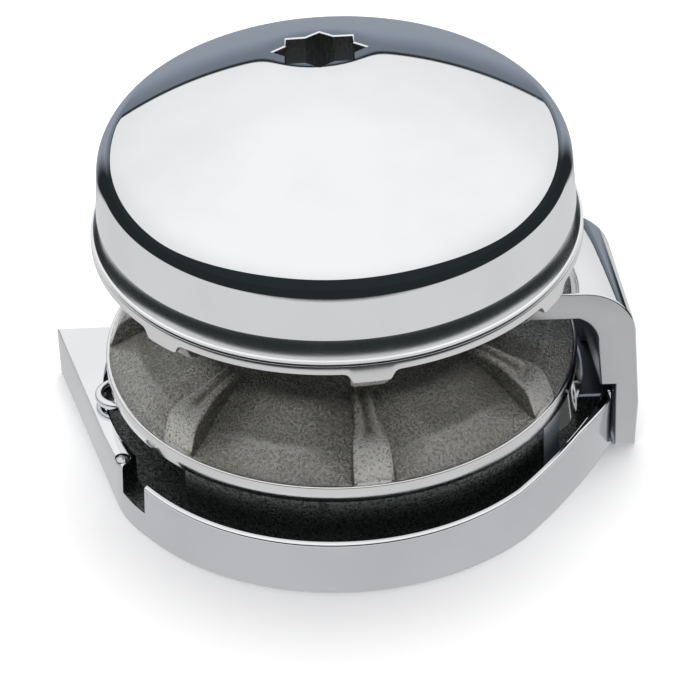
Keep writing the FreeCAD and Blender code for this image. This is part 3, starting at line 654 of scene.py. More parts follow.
def dress(o, body, stands_for):
    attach(o, body)
    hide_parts(stands_for)
    print(o.name, "stands for", stands_for, "with", len(o.data.polygons), "faces")


print("tools cut and join by exact Boolean")


# %% [markdown]
# ## The cap
# The cap is spun plate polished to a mirror, so its shading must be exact.
# It is turned from a fine profile: dome, rounded shoulder, wall, a fine edge, a hollow flare and the lip.
# The eight-point socket is cut with a Boolean, and polishing leaves the dome a little hollow round it.
# After the cut, each face on the dome is given the true normal of its surface.
# Without that step the reflections would wobble round the socket.

# %% Cap profile
DOME_R, CAP_TOP = 118.0, 106.5
SHOULDER_R, CORNER_R, CORNER_MID, WALL_TILT = 55.37, 11.3, (50.22, 82.65), 85.6
WALL_FOOT = (62.4, 71.7)
CAP_EDGE = [(62.4, 71.6), (62.3, 71.45), (61.75, 71.2), (61.6, 71.0)]
FLARE_MID, FLARE_FOOT, FLARE_Z, FLARE_FROM_R = (62.3, 68.5), (63.5, 66.3), (66.2, 71.2), 61.2
LIP = [(64.0, 66.1), (64.0, 65.4), (63.85, 65.2), (60.8, 65.2)]
CAP_INSIDE = [(57.4, 71.2), (56.0, 82.0), (48.0, 90.0), (26.0, 97.0), (20.0, 97.0), (20.0, 66.4),
              (12.3, 66.4), (12.3, 83.0), (0.0, 83.0)]
DOME_STEPS, SHOULDER_STEPS, WALL_STEPS, FLARE_STEPS = 40, 18, 6, 14
dome_mid = CAP_TOP - DOME_R


def curve_through(p0, p1, p2, steps):
    """A short arc given by three points, as a quadratic curve through its middle."""
    mid = (2 * p1[0] - (p0[0] + p2[0]) / 2, 2 * p1[1] - (p0[1] + p2[1]) / 2)
    points = []
    for i in range(steps + 1):
        t = i / steps
        points.append(tuple((1 - t) ** 2 * p0[k] + 2 * t * (1 - t) * mid[k] + t * t * p2[k] for k in (0, 1)))
    return points


def cap_profile():
    dome = []
    for i in range(DOME_STEPS + 1):
        r = SHOULDER_R * i / DOME_STEPS
        dome.append((r, dome_mid + math.sqrt(DOME_R ** 2 - r * r)))
    start, stop = math.asin(SHOULDER_R / DOME_R), math.radians(WALL_TILT)
    shoulder = []
    for i in range(1, SHOULDER_STEPS + 1):
        tilt = start + (stop - start) * i / SHOULDER_STEPS
        shoulder.append((CORNER_MID[0] + CORNER_R * math.sin(tilt),
                         CORNER_MID[1] + CORNER_R * math.cos(tilt)))
    wall = straight(shoulder[-1], WALL_FOOT, WALL_STEPS)
    flare = curve_through(CAP_EDGE[-1], FLARE_MID, FLARE_FOOT, FLARE_STEPS)
    return dome + shoulder + wall + CAP_EDGE + flare[1:] + LIP + CAP_INSIDE


print("cap profile:", len(cap_profile()), "points")

# %% Star socket and dome
STAR_X, STAR_Y, STAR_SIDE, STAR_FLOOR = -2.8, 21.5, 17.5, 86.5
HOLLOW_DEPTH, HOLLOW_R = 0.62, 12.0
SOCKET_WALL, SOCKET_Z = 7.5, (84.0, 99.0)


def star_ring(side, steps=4):
    """Plan points of the eight-point star, with extra points along each straight."""
    half = side / 2
    tip, root = half * math.sqrt(2), half / math.cos(math.radians(22.5))
    corners = []
    for i in range(8):
        for turn, r in ((45 * i, tip), (45 * i + 22.5, root)):
            corners.append((r * math.cos(math.radians(turn)), r * math.sin(math.radians(turn))))
    points = []
    for (x0, y0), (x1, y1) in zip(corners, corners[1:] + corners[:1]):
        points += [(STAR_X + x0 + (x1 - x0) * k / steps, STAR_Y + y0 + (y1 - y0) * k / steps)
                   for k in range(steps)]
    return points


def dome_height(x, y):
    """The sphere, with the shallow hollow that polishing leaves round the socket."""
    away = math.hypot(x - STAR_X, y - STAR_Y)
    sphere = dome_mid + math.sqrt(DOME_R ** 2 - x * x - y * y)
    return sphere - HOLLOW_DEPTH * math.exp(-(away / HOLLOW_R) ** 4)


def dome_normal(x, y, e=0.2):
    slope_x = (dome_height(x + e, y) - dome_height(x - e, y)) / (2 * e)
    slope_y = (dome_height(x, y + e) - dome_height(x, y - e)) / (2 * e)
    return Vector((-slope_x, -slope_y, 1)).normalized()


def near_dome(x, y, z, reach):
    return math.hypot(x, y) < SHOULDER_R and abs(z - dome_height(x, y)) < reach


def star_cutter():
    """The straight socket below and a narrow flare that follows the dome at its mouth."""
    rings = [[(x, y, STAR_FLOOR) for x, y in star_ring(STAR_SIDE)]]
    for spread, lift in ((0.0, -0.36), (0.3, 0.0), (3.0, 3.2)):
        rings.append([(x, y, dome_height(x, y) + lift) for x, y in star_ring(STAR_SIDE + 2 * spread)])
    return skin("star", rings)


def socket_core():
    """Solid metal round the socket, so that the star's sides have depth."""
    r, (low, high) = STAR_SIDE / 2 + SOCKET_WALL, SOCKET_Z
    verts, faces = turned_grid([(0, low), (r, low), (r, high), (0, high)], 48, closed_profile=False)
    return solid_of("socket", [(x + STAR_X, y + STAR_Y, z) for x, y, z in verts], faces)


print("star:", len(star_ring(STAR_SIDE)), "points round its rim")

# %% Cap mesh


def true_dome_normals(mesh):
    """Gives faces on the dome its exact normal, and keeps the rest as they are."""
    normals = [Vector(c.vector) for c in mesh.corner_normals]
    for face in mesh.polygons:
        if near_dome(*(face.center / MM), 0.02):
            for k in face.loop_indices:
                v = mesh.vertices[mesh.loops[k].vertex_index].co / MM
                normals[k] = dome_normal(v.x, v.y)
    mesh.normals_split_custom_set([tuple(n) for n in normals])


def cap_finish(x, y, z):
    """0 is mirror plate, 1 the socket's sides and 2 the satin flare."""
    if math.hypot(x - STAR_X, y - STAR_Y) < STAR_SIDE and STAR_FLOOR - 0.1 < z < dome_height(x, y) - 0.45:
        return 1
    return 2 if FLARE_Z[0] < z < FLARE_Z[1] and math.hypot(x, y) > FLARE_FROM_R else 0


def build_cap():
    verts, faces = turned_grid(cap_profile(), 240, closed_profile=False)
    hollowed = [(x, y, dome_height(x, y)) if near_dome(x, y, z, 0.9) else (x, y, z) for x, y, z in verts]
    cap = solid_of("cap_dome", hollowed, faces)
    boolean(cap, socket_core(), "UNION")
    boolean(cap, star_cutter())
    for face in cap.data.polygons:
        face.material_index = cap_finish(*(face.center / MM))
    smooth(cap.data, 24)
    true_dome_normals(cap.data)
    give_finishes(cap.data, "polished_cap", "socket_metal", "flare_satin")
    dress(cap, "cap", "clutch_cap")


build_cap()

# %% [markdown]
# ## The chainwheel
# The wheel is the skilled part of a windlass. Seven pockets hold the flat links, and seven teeth stand in
# the upright ones. The two halves of the casting mirror each other across the groove.
# One seventh of the wheel is enough: a tooth with half a pocket on each side of it.
# Its surface is a height field over radius and angle, so smooth mathematics gives it a casting's soft edges.
# The columns of the grid follow the tooth's sides, which keeps those sides straight.

# %% Wheel sizes
POCKETS, FIRST_TOOTH = 7, 6.7
HALF_PITCH = math.pi / POCKETS
WHEEL_Z0, WHEEL_Z1, GROOVE_MID, BORE_R = 20.7, 64.9, 43.85, 20.0
LOW_RIM_R, TOP_RIM_R, RIM_COLUMN_R, ROOT_R = 63.0, 64.3, 62.5, 39.5
CHEEK_Z, LUG_TOP, LUG_R = 25.3, 62.2, 64.0
ROOT_TOP, SLOT_R, SLOT_HALF_WIDTH = 42.0, 37.6, 5.4
SLOT_Z, SLOT_MOUTH_Z = (43.08, 44.8), (43.0, 44.88)
# Pairs of radius and height on the lower half: the tooth's crest, the pocket's cheek and the rim.
TOOTH_TOP = [(36, 39.2), (40, 38.8), (46, 38.2), (52, 36.7), (55, 35.6), (57.6, 34.4), (59.4, 32.6),
             (60.6, 29.6), (61.6, 26.0), (64, 24.0)]
CHEEK = [(36, 38.6), (39.5, 37.6), (42, 37.0), (55, 31.7), (62, 25.3), (64, 25.0)]
LOWER_RIM = [(BORE_R, 32.0), (35.96, 32.0), (39.9, 20.95), (40.1, WHEEL_Z0), (62.75, WHEEL_Z0),
             (62.95, 20.8), (LOW_RIM_R, 21.0), (LOW_RIM_R, 25.0), (62.93, 25.25), (62.75, 25.42),
             (62.5, 25.48), (62.15, 25.46)]
UPPER_RIM = [(TOP_RIM_R, 64.55), (64.2, 64.8), (63.95, WHEEL_Z1), (40.25, WHEEL_Z1), (40.0, 64.7),
             (36.62, 55.1), (BORE_R, 55.1)]
# Pairs of radius and half width of the tooth, and of distance across a lug and height of its lower edge.
TOOTH_HALF = [(36, 2.4), (44, 2.5), (50, 2.9), (54, 3.9), (56, 4.4), (60, 4.9), (64, 5.2)]
LUG_EDGE = [(0, 59.4), (4.3, 59.4), (4.8, 59.65), (5.3, 60.6), (5.8, 61.6), (6.5, 62.1), (7.4, LUG_TOP),
            (40, LUG_TOP)]


def follow(table, x):
    """Reads a table of straight runs."""
    for (x0, y0), (x1, y1) in zip(table, table[1:]):
        if x <= x1:
            return y0 + (y1 - y0) * (x - x0) / (x1 - x0)
    return table[-1][1]


def softly(table, x, reach):
    """The same table with its corners rounded over a short reach."""
    return sum(follow(table, x + reach * k / 3) for k in range(-3, 4)) / 7


def ramp(value, start, width):
    """0 at start and 1 after the width, straight between."""
    return min(max((value - start) / width, 0.0), 1.0)


def soft_min(a, b, k):
    """The lower of two heights, with the corner between them rounded."""
    h = max(k - abs(a - b), 0.0) / k
    return min(a, b) - h * h * k / 4


print("tooth's half width at 60 mm:", follow(TOOTH_HALF, 60), "mm")

# %% Height of the wheel's lower cheek
RIDGE_R, RIDGE_TURN, RIDGE_Z = 55.0, math.radians(16.2), 31.7
HIP_FOOT, HIP_HUB = Vector((61.7, 6.2, 25.3)), Vector((42.0, 3.0, 35.4))
CREST_END_R, TWIN_SHARE, VALLEY_DEPTH, SIDE_FALL = 56.5, 0.62, 0.9, 0.45


def hip_height(x, y):
    """Plane of the slope beside a tooth that points along X. y counts away from the tooth."""
    ridge = Vector((RIDGE_R * math.cos(RIDGE_TURN), RIDGE_R * math.sin(RIDGE_TURN), RIDGE_Z))
    n = (HIP_FOOT - ridge).cross(HIP_HUB - ridge)
    return ridge.z - (n.x * (x - ridge.x) + n.y * (y - ridge.y)) / n.z


def pocket_height(r, turn):
    """Height of the pocket floor. turn is the angle from the tooth, in radians."""
    z = softly(CHEEK, r, 0.5)
    if r > ROOT_R + 0.5:
        z = soft_min(z, hip_height(r * math.cos(turn), abs(r * math.sin(turn))), 0.7)
    return max(z, CHEEK_Z)


def tooth_height(r, share):
    """Height of the tooth's top. share goes from 0 on its middle to 1 at its side."""
    z = softly(TOOTH_TOP, r, 0.7)
    inward = ramp(-r, -CREST_END_R, 3.0)
    twin = math.exp(-((share - TWIN_SHARE) / 0.20) ** 2)
    z += inward * (VALLEY_DEPTH * twin - VALLEY_DEPTH)
    return z - SIDE_FALL * max(share - 0.8, 0) / 0.2 * (1 - inward)


print("pocket floor at the ridge:", round(pocket_height(RIDGE_R, HALF_PITCH), 2), "mm")

# %% [markdown]
# The grid has one column for each angle and one row for each step along the profile.
# Rows run under the wheel, up its lower rim, over the cheek to the root, and back out under the upper rim.
# The lugs that hang from the upper rim only change the height of its lower edge, column by column.

# %% Columns and rows of the grid
INNERMOST_R, SIDE_WIDTH = 37, 0.55
SIDE_FALLS = {0.3: 0.12, 0.65: 0.75, 1.0: 1.0}
CHEEK_RADII = ([61.95, 61.7, 61.4, 61.0, 60.6, 60.2, 59.7, 59.2, 58.6, 58.0, 57.3, 56.6, 55.9, 55.4, 55.0,
                54.6, 54.0] + [53.2 - 0.75 * i for i in range(18)] + [39.9, ROOT_R])


def wheel_columns():
    """Column kinds from the middle of the tooth to the middle of the pocket."""
    top = [("top", t) for t in (0, 0.12, 0.24, 0.36, 0.46, 0.56, 0.66, 0.76, 0.84, 0.92, 0.97, 1.0)]
    side = [("side", t) for t in SIDE_FALLS]
    floor = [("floor", (i / 30) ** 1.15) for i in range(1, 31)]
    return top + side + floor


def column_turn(kind, share, r):
    """Angle from the tooth's middle at which a column stands at one radius."""
    r = max(r, INNERMOST_R)
    edge = math.asin(follow(TOOTH_HALF, min(r, 64)) / r)
    gap = SIDE_WIDTH / r
    if kind == "top":
        return share * edge
    if kind == "side":
        return edge + share * gap
    return edge + gap + share * (HALF_PITCH - edge - gap)


def cheek_point(kind, share, r):
    """Turn and height of the lower cheek for one column and one radius."""
    turn = column_turn(kind, share, r)
    low = pocket_height(r, turn)
    if kind == "floor":
        return turn, low
    high = max(tooth_height(r, share if kind == "top" else 1.0), low)
    if kind == "top":
        return turn, high
    return turn, high + (low - high) * SIDE_FALLS[share]


def wheel_column(kind, share):
    """The closed profile of one column, as turn, radius and height."""
    at_rim = column_turn(kind, share, RIM_COLUMN_R)
    cheek = []
    for r in CHEEK_RADII:
        turn, z = cheek_point(kind, share, r)
        cheek.append((turn, r, z))
    at_root, root_z = cheek[-1][0], min(cheek[-1][2] + 2.0, ROOT_TOP)
    in_r = SLOT_R if HALF_PITCH - at_root < SLOT_HALF_WIDTH / ROOT_R else ROOT_R
    root = [(ROOT_R, root_z), (ROOT_R, SLOT_MOUTH_Z[0]), (in_r, SLOT_Z[0]), (in_r, SLOT_Z[1]),
            (ROOT_R, SLOT_MOUTH_Z[1]), (ROOT_R, 2 * GROOVE_MID - root_z)]
    across = LUG_R * math.sin(min(column_turn(kind, share, LUG_R), 0.5))
    edge = follow(LUG_EDGE, across)
    lug = [(62.2, min(edge + 0.05, LUG_TOP)), (63.6, edge), (64.1, edge + 0.06), (TOP_RIM_R, edge + 0.25)]

    rows = [(at_rim, r, z) for r, z in LOWER_RIM] + cheek
    rows += [(at_root, r, z) for r, z in root]
    rows += [(turn, r, 2 * GROOVE_MID - z) for turn, r, z in reversed(cheek)]
    return rows + [(at_rim, r, z) for r, z in lug + UPPER_RIM]


print("grid:", 2 * len(wheel_columns()) - 1, "columns of", len(wheel_column("top", 0.0)), "rows")

# %% [markdown]
# The wheel shows its age by its shape: the chain wears the teeth and the pocket's ridge bright, and a painted
# highlight is added there.
# The hollows get painted shade. Two masks say how much, one for wear with painted highlight and one for
# painted shade.
# They are worked out column by column and kept on the points of the mesh, where the finish reads them.

# %% Wear, painted highlight and painted shade
# Radii and spreads of the wear with painted highlight, then of the painted shade, then the limits of both.
LIT_RUBBED_CREST, LIT_RUBBED_END, CREST_SPREAD, RIDGE_SPREAD = (41, 55.2), (55.2, 61.6), 0.26, 0.6
SHADED_ROOT_R, VALLEY_END_R, SHADED_FLOOR_R = 46.5, 54.5, 54.8
INNER_R, INNER_Z = 62.1, (25.2, 62.4)


def wear_and_highlight_at(kind, share, r):
    """Where the chain wears the metal bright, with a painted highlight added: the tooth's end, its two ridges
    and the pocket's ridge.
    """
    if kind == "top":
        if LIT_RUBBED_END[0] < r < LIT_RUBBED_END[1]:
            return 1.0
        on_crest = LIT_RUBBED_CREST[0] < r <= LIT_RUBBED_CREST[1]
        return math.exp(-((share - TWIN_SHARE) / CREST_SPREAD) ** 2) if on_crest else 0.0
    if kind == "floor" and share > 0.25:
        return 0.95 * math.exp(-((r - RIDGE_R) / RIDGE_SPREAD) ** 2)
    return 0.0


def painted_shade_at(kind, share, r):
    """Painted shade: the root, the foot and the valley of each tooth, and the inner part of the floor, where
    shade falls.
    """
    beside_tooth = 0.45 * (1 - share / 0.06) if r > RIDGE_R else 0.0
    here = {"side": 1.0,
            "top": 0.8 * max(1 - share / 0.35, 0.0) if r < VALLEY_END_R else 0.0,
            "floor": max(0.24 * ramp(-r, -SHADED_FLOOR_R, 0.8), beside_tooth)}
    return max(here[kind], ramp(-r, -SHADED_ROOT_R, 6.0))


def add_wear_and_painted_light(mesh, columns):
    """Stores both masks on the points. Under the wheel and on its rims they stay at 0."""
    masks = {}
    for kind, share, side in columns:
        for turn, r, z in wheel_column(kind, share):
            key = (round(r * math.cos(turn), 3), round(r * math.sin(side * turn), 3), round(z, 3))
            inner = r < INNER_R and INNER_Z[0] < z < INNER_Z[1]
            masks[key] = (wear_and_highlight_at(kind, share, r), painted_shade_at(kind, share, r)) if inner else (0.0, 0.0)
    wear_and_highlight, painted_shade = (mesh.attributes.new(name, "FLOAT", "POINT") for name in ("wear_and_highlight", "painted_shade"))
    for v in mesh.vertices:
        key = tuple(round(c / MM, 3) for c in v.co)
        wear_and_highlight.data[v.index].value, painted_shade.data[v.index].value = masks.get(key, (0.0, 0.0))


# The two values printed are the wear with painted highlight on the ridge and the painted shade at the root.
print("wear on the pocket's ridge:", wear_and_highlight_at("floor", 1.0, RIDGE_R), "and grime at the root:",
      painted_shade_at("floor", 1.0, ROOT_R))

# %% One seventh of the wheel


def build_sector():
    half = wheel_columns()
    columns = [(kind, share, -1) for kind, share in reversed(half[1:])]
    columns += [(kind, share, 1) for kind, share in half]
    verts = []
    for kind, share, side in columns:
        verts += [(r * math.cos(side * turn), r * math.sin(side * turn), z)
                  for turn, r, z in wheel_column(kind, share)]
    n = len(verts) // len(columns)
    faces = []
    for i in range(len(columns) - 1):
        here, after = i * n, (i + 1) * n
        faces += [(here + k, here + (k + 1) % n, after + (k + 1) % n, after + k) for k in range(n)]
    sector = solid_of("wheel_sector", verts, faces)
    add_wear_and_painted_light(sector.data, columns)
    print("one sector:", len(sector.data.vertices), "points")
    return sector


sector = build_sector()

# %% [markdown]
# ## Repeating the sector
# Geometry Nodes copies the sector round the shaft: a line of seven points that all lie on the axis,
# and on each point one copy, turned by its own number of pitches.
# The seams are then merged, because the edge columns of neighbours lie exactly on each other.

# %% Round array as a node tree


def round_array():
    tree = bpy.data.node_groups.new("round_array", "GeometryNodeTree")
    tree.interface.new_socket("Geometry", in_out="INPUT", socket_type="NodeSocketGeometry")
    for label, kind, value in (("Count", "NodeSocketInt", 7), ("First Angle", "NodeSocketFloat", 0.0),
                               ("Seam Width", "NodeSocketFloat", 0.00001)):
        tree.interface.new_socket(label, in_out="INPUT", socket_type=kind).default_value = value
    tree.interface.new_socket("Finish", in_out="INPUT", socket_type="NodeSocketMaterial")
    tree.interface.new_socket("Geometry", in_out="OUTPUT", socket_type="NodeSocketGeometry")
    inside, out = node(tree, "NodeGroupInput").outputs, node(tree, "NodeGroupOutput")
    points = node(tree, "GeometryNodeMeshLine", {"Count": inside["Count"], "Offset": (0, 0, 0)}).outputs[0]
    index = node(tree, "GeometryNodeInputIndex").outputs[0]
    pitch = maths(tree, "DIVIDE", 2 * math.pi, inside["Count"])
    turn = maths(tree, "ADD", maths(tree, "MULTIPLY", index, pitch), inside["First Angle"])
    rotation = node(tree, "ShaderNodeCombineXYZ", {2: turn}).outputs[0]
    copies = node(tree, "GeometryNodeInstanceOnPoints", {"Points": points, "Instance": inside["Geometry"],
                                                         "Rotation": rotation}).outputs[0]
    real = node(tree, "GeometryNodeRealizeInstances", {0: copies}).outputs[0]
    merged = node(tree, "GeometryNodeMergeByDistance", {0: real, "Distance": inside["Seam Width"]}).outputs[0]
    finish = node(tree, "GeometryNodeSetMaterial", {0: merged, "Material": inside["Finish"]}).outputs[0]
    tree.links.new(finish, out.inputs[0])
    return tree


array_tree = round_array()
print("round array:", len(array_tree.nodes), "nodes")


def repeat_round(o, count, first_angle, finish):
    """Runs the round array on an object and leaves it as a plain mesh."""
    m = o.modifiers.new("round", "NODES")
    m.node_group = array_tree
    ids = {item.name: item.identifier for item in array_tree.interface.items_tree if item.in_out == "INPUT"}
    m[ids["Count"]] = count
    m[ids["First Angle"]] = first_angle
    m[ids["Finish"]] = finish
    make_plain(o)


# %% Whole wheel


def build_wheel(wheel):
    wheel.name = "chainwheel_casting"
    repeat_round(wheel, POCKETS, math.radians(FIRST_TOOTH - 90), finishes["cast_wheel"])
    with editing(wheel.data) as bm:
        bmesh.ops.recalc_face_normals(bm, faces=bm.faces)
    smooth(wheel.data, 38)
    dress(wheel, "wheel", "chain_wheel")


build_wheel(sector)

# %% [markdown]
# ## The base
# The base is a shallow pan. Its front wall leans inwards a little towards the top, as cast walls do,
# and the top edge is broken so that it catches a thin line of light.
# The plan outline is drawn once, from arcs and straight runs, and raised as a loft.
# The well is then cut out with tools whose mouths flare by half a millimetre, which leaves that bright edge.
# Faces that a tool cuts take the tool's finish, so the inside stays rough and dark. That dark colour is
# partly the cast metal's own and partly painted shade in the well.
# The faces of the outer wall are found again by their distance from the outline, and get a satin plate. Its
# darker tint is painted shade: it stands in for the object's shadow on the floor, which the wall reflects.

# %% Plan helpers


def plan_polar(r, degrees):
    a = math.radians(degrees)
    return (r * math.sin(a), -r * math.cos(a))


def arc_in_plan(a, b, c, steps):
    """Points from a to c on the circle that also passes through b. The first point is left out."""
    (ax, ay), (bx, by), (cx, cy) = a, b, c
    a2, b2, c2 = ax * ax + ay * ay, bx * bx + by * by, cx * cx + cy * cy
    d = 2 * (ax * (by - cy) + bx * (cy - ay) + cx * (ay - by))
    ux = (a2 * (by - cy) + b2 * (cy - ay) + c2 * (ay - by)) / d
    uy = (a2 * (cx - bx) + b2 * (ax - cx) + c2 * (bx - ax)) / d
    r = math.hypot(ax - ux, ay - uy)
    t0, t1, t2 = (math.atan2(y - uy, x - ux) for x, y in (a, b, c))
    while t2 < t0:
        t2 += 2 * math.pi
    while t1 < t0:
        t1 += 2 * math.pi
    if t1 > t2:
        t2 -= 2 * math.pi
    return [(ux + r * math.cos(t0 + (t2 - t0) * i / steps), uy + r * math.sin(t0 + (t2 - t0) * i / steps))
            for i in range(1, steps + 1)]


def inset(points, distance):
    """Moves a closed outline inwards. distance is one number, or one for each point."""
    n = len(points)
    after_each = points[1:] + points[:1]
    area = sum(x0 * y1 - x1 * y0 for (x0, y0), (x1, y1) in zip(points, after_each))
    sign = 1.0 if area > 0 else -1.0
    moved = []
    for i in range(n):
        step = distance[i] if isinstance(distance, (list, tuple)) else distance
        before = Vector(points[i]) - Vector(points[i - 1])
        after = Vector(points[(i + 1) % n]) - Vector(points[i])
        na = Vector((-before.y, before.x)).normalized() * sign
        nb = Vector((-after.y, after.x)).normalized() * sign
        both = na + nb
        both *= 1.0 / max(both.dot(na), 0.35)
        moved.append((points[i][0] + both.x * step, points[i][1] + both.y * step))
    return moved


# %% Outline of the base
BASE_H, FLOOR_H, FRONT_R, BACK_R, WELL_R, WALL_T = 15.0, 4.0, 71.6, 66.0, 64.0, 2.9
PLATE_END_X, PLATE_BACK_Y, LEG_IN_X, SEAT_GAP, STEP_GAP = -78.0, 24.5, 72.0, 0.3, 0.9
SEAT_FRONT_Y, SEAT_BACK_Y = -13.0, 18.0
HOOD_LEAN, HOOD_Y0 = Vector((-4.0, 37.3)), -17.3
PLATE_STEPS, BACK_STEPS = 6, 72
# Distance outside the front radius, and direction, where the wall bends, runs round, and ends at the hood.
FRONT_MARKS = [(-2.2, -61.5), (-0.6, -54.6), (0.0, -47.3), (0.0, 40.0), (-1.6, 59.4), (1.4, 76.8)]


def hood_face_x(y):
    """X of the leg's inner face, which leans."""
    return LEG_IN_X + HOOD_LEAN.x * (y - HOOD_Y0) / HOOD_LEAN.y


def base_outline():
    left = (PLATE_END_X, PLATE_BACK_Y)
    marks = [plan_polar(FRONT_R + out, turn) for out, turn in FRONT_MARKS]
    bend, bend_mid, front0, front1, tip_mid, tip = marks
    seat = [(hood_face_x(SEAT_FRONT_Y) - STEP_GAP, SEAT_FRONT_Y),
            (hood_face_x(SEAT_FRONT_Y) - SEAT_GAP, SEAT_FRONT_Y),
            (hood_face_x(SEAT_BACK_Y) - SEAT_GAP, SEAT_BACK_Y)]
    back_x = math.sqrt(BACK_R ** 2 - PLATE_BACK_Y ** 2)
    back0, back1 = (back_x, PLATE_BACK_Y), (-back_x, PLATE_BACK_Y)
    points = [left] + straight(left, bend, PLATE_STEPS)
    points += arc_in_plan(bend, bend_mid, front0, 10)
    points += arc_in_plan(front0, (0.0, -FRONT_R - 2.5), front1, 56)
    points += arc_in_plan(front1, tip_mid, tip, 14)
    return points + seat + [back0] + arc_in_plan(back0, (0.0, BACK_R), back1, BACK_STEPS)


outline = base_outline()


def draft(points, depth):
    """How far each point of the front wall leans in. It fades out at the plate and at the hood."""
    turns = [math.degrees(math.atan2(x, -y)) for x, y in points]
    return [depth * (ramp(turn, -66, 12) * ramp(-turn, -76, 12)) for turn in turns]


print("base outline:", len(outline), "points")

# %% Tools that shape the base
ROUGH_AND_SHADED, SIDE, DRUM, UNDER = 1, 2, 3, 4  # numbers of the finishes, after 0 for polished plate
DRUM_SECTION = [(59.0, 3.5), (62.0, 3.5), (62.0, 19.7), (61.85, 20.05), (61.5, 20.2), (59.4, 20.2),
                (59.0, 19.8)]
# The last number is the turn, in degrees, up to which the drum's wall takes the dark well finish as painted
# shade.
DRUM_FIRST, DRUM_SPAN, DRUM_STEPS, DRUM_BRIGHT_FROM = -42.0, 108.0, 96, 57
WELL_FRONT = (-53.0, -14.5)
NOTCH = [(WELL_R - 3, -60.0), (WELL_R, -59.1), (FRONT_R + 8.5, -53.6), (FRONT_R + 9.0, -46.0),
         (FRONT_R, -47.7), (WELL_R, -50.8)]


def turn_of(place):
    """Direction in degrees from the front, seen from the shaft."""
    return math.degrees(math.atan2(place.x, -place.y))


def drum_piece():
    """Polished wall under the wheel, as a bent bar with a closed end on each side."""
    turns = [DRUM_FIRST + DRUM_SPAN * i / DRUM_STEPS for i in range(DRUM_STEPS + 1)]
    return skin("drum", [[plan_polar(r, turn) + (z,) for r, z in DRUM_SECTION] for turn in turns])


def flared_tool(name, points, floor, flare=0.5):
    """A cutter with upright sides whose mouth opens at the top of the base."""
    wide, wider = inset(points, -flare), inset(points, -flare - 3.0)
    tool = loft(name, [(points, floor), (points, BASE_H - flare), (wide, BASE_H), (wider, BASE_H + 3.0)])
    mark_faces(tool, ROUGH_AND_SHADED, lambda centre, _: centre.z < BASE_H - flare)
    return tool


def front_well_points():
    """The front part of the well follows the wall at an even thickness."""
    wall = inset(outline, WALL_T)[PLATE_STEPS + 2:-BACK_STEPS - 4]
    front = [p for p in wall if p[0] > WELL_FRONT[0] and p[1] < WELL_FRONT[1]]
    return [WELL_FRONT] + front + [(front[-1][0], WELL_FRONT[1])]


def side_bore(name, y, sides, *steps):
    """Round cutter for a hood screw, square to the leaning leg. Each step is a way along and a radius."""
    turn = math.atan2(HOOD_LEAN.x, HOOD_LEAN.y)
    rings = []
    for along, r in steps:
        rings.append([(hood_face_x(y) + along * math.cos(turn) + across * math.sin(turn),
                       y - along * math.sin(turn) + across * math.cos(turn), HOOD_SCREW_Z + up)
                      for across, up in circle_in_plan(r, sides)])
    return skin(name, rings)


print("drum section:", len(DRUM_SECTION), "points, front well:", len(front_well_points()), "points")

# %% Places and sizes on the base
TOP_EDGE = [(5.0, 0.0), (10.0, 0.0), (14.2, 0.0), (14.6, 0.08), (14.85, 0.25), (BASE_H, 0.5)]
BORE_SIDES, BEARING_R, RELIEF_R, RELIEF_TOP, SHAFT_BOSS_R, SHAFT_BOSS_TOP = 120, 18.0, 23.5, 5.0, 26.0, 16.5
POST_PLACE, POST_R, POST_TOP, PIN_HOLE_R = {"x": -47.5, "y": 33.3}, 7.0, 15.3, 3.52
STUD_AT, STUD_R, STUD_BOSS_R, STUD_BOSS_TOP, STUD_DEPTH = 46.0 * math.sqrt(0.5), 4.0, 8.0, 14.0, 11.0
STOP_SCREW_AT, STOP_SCREW_R, STOP_SEAT_Z = plan_polar(FRONT_R - 3.8, -59.6), 2.2, 13.8
HOOD_SCREW_YS, HOOD_SCREW_Z = (-6.0, 12.0), 9.0
PIPE_X, PIPE_R, PIPE_Y0, PIPE_Y1 = 53.5, 7.5, -9.0, 13.0
UNDER_HOOD, UNDER_HOOD_Z = [(60.0, -15.2), (71.2, -15.2), (67.6, 19.5), (60.0, 19.5)], 14.95
STEP_X, STEP_Y = (55, 69.5), (-15.4, -13.9)
SUNK, BELOW, ABOVE = 3.0, -1.0, 16.0  # solids start inside the floor, and cutters pass the base on both sides


def is_outer_wall(centre, normal, within=1.6):
    """True for an upright face that lies near the outline and below the broken edge."""
    if abs(normal.z) >= 0.25 or centre.z > BASE_H - 0.6:
        return False
    place = Vector((centre.x, centre.y))
    for i, corner in enumerate(outline):
        start = Vector(corner)
        run = Vector(outline[(i + 1) % len(outline)]) - start
        t = min(max((place - start).dot(run) / max(run.length_squared, 1e-9), 0), 1)
        if (place - start - run * t).length < within:
            return True
    return False


def is_step_under_hood(centre, normal):
    beside = STEP_X[0] < centre.x < STEP_X[1] and STEP_Y[0] < centre.y < STEP_Y[1]
    return beside and centre.z > BASE_H - 1.0 and normal.z > 0.3


print("studs at", round(STUD_AT, 2), "mm from the axes")

# %% Pan and pipe


def base_pan():
    lean = draft(outline, 1.3)
    rows = [(inset(outline, 0.25), 0.0), (outline, 0.25)]
    for z, broken in TOP_EDGE:
        rows.append((inset(outline, [d * z / BASE_H + broken for d in lean]), z))
    base = loft("base_pan", rows)
    mark_faces(base, 0)
    for tool in (flared_tool("well", circle_in_plan(WELL_R, 180), FLOOR_H),
                 flared_tool("front_well", front_well_points(), FLOOR_H),
                 flared_tool("notch", [plan_polar(*p) for p in NOTCH], 7.0, 0.25)):
        boolean(base, tool)
    return base


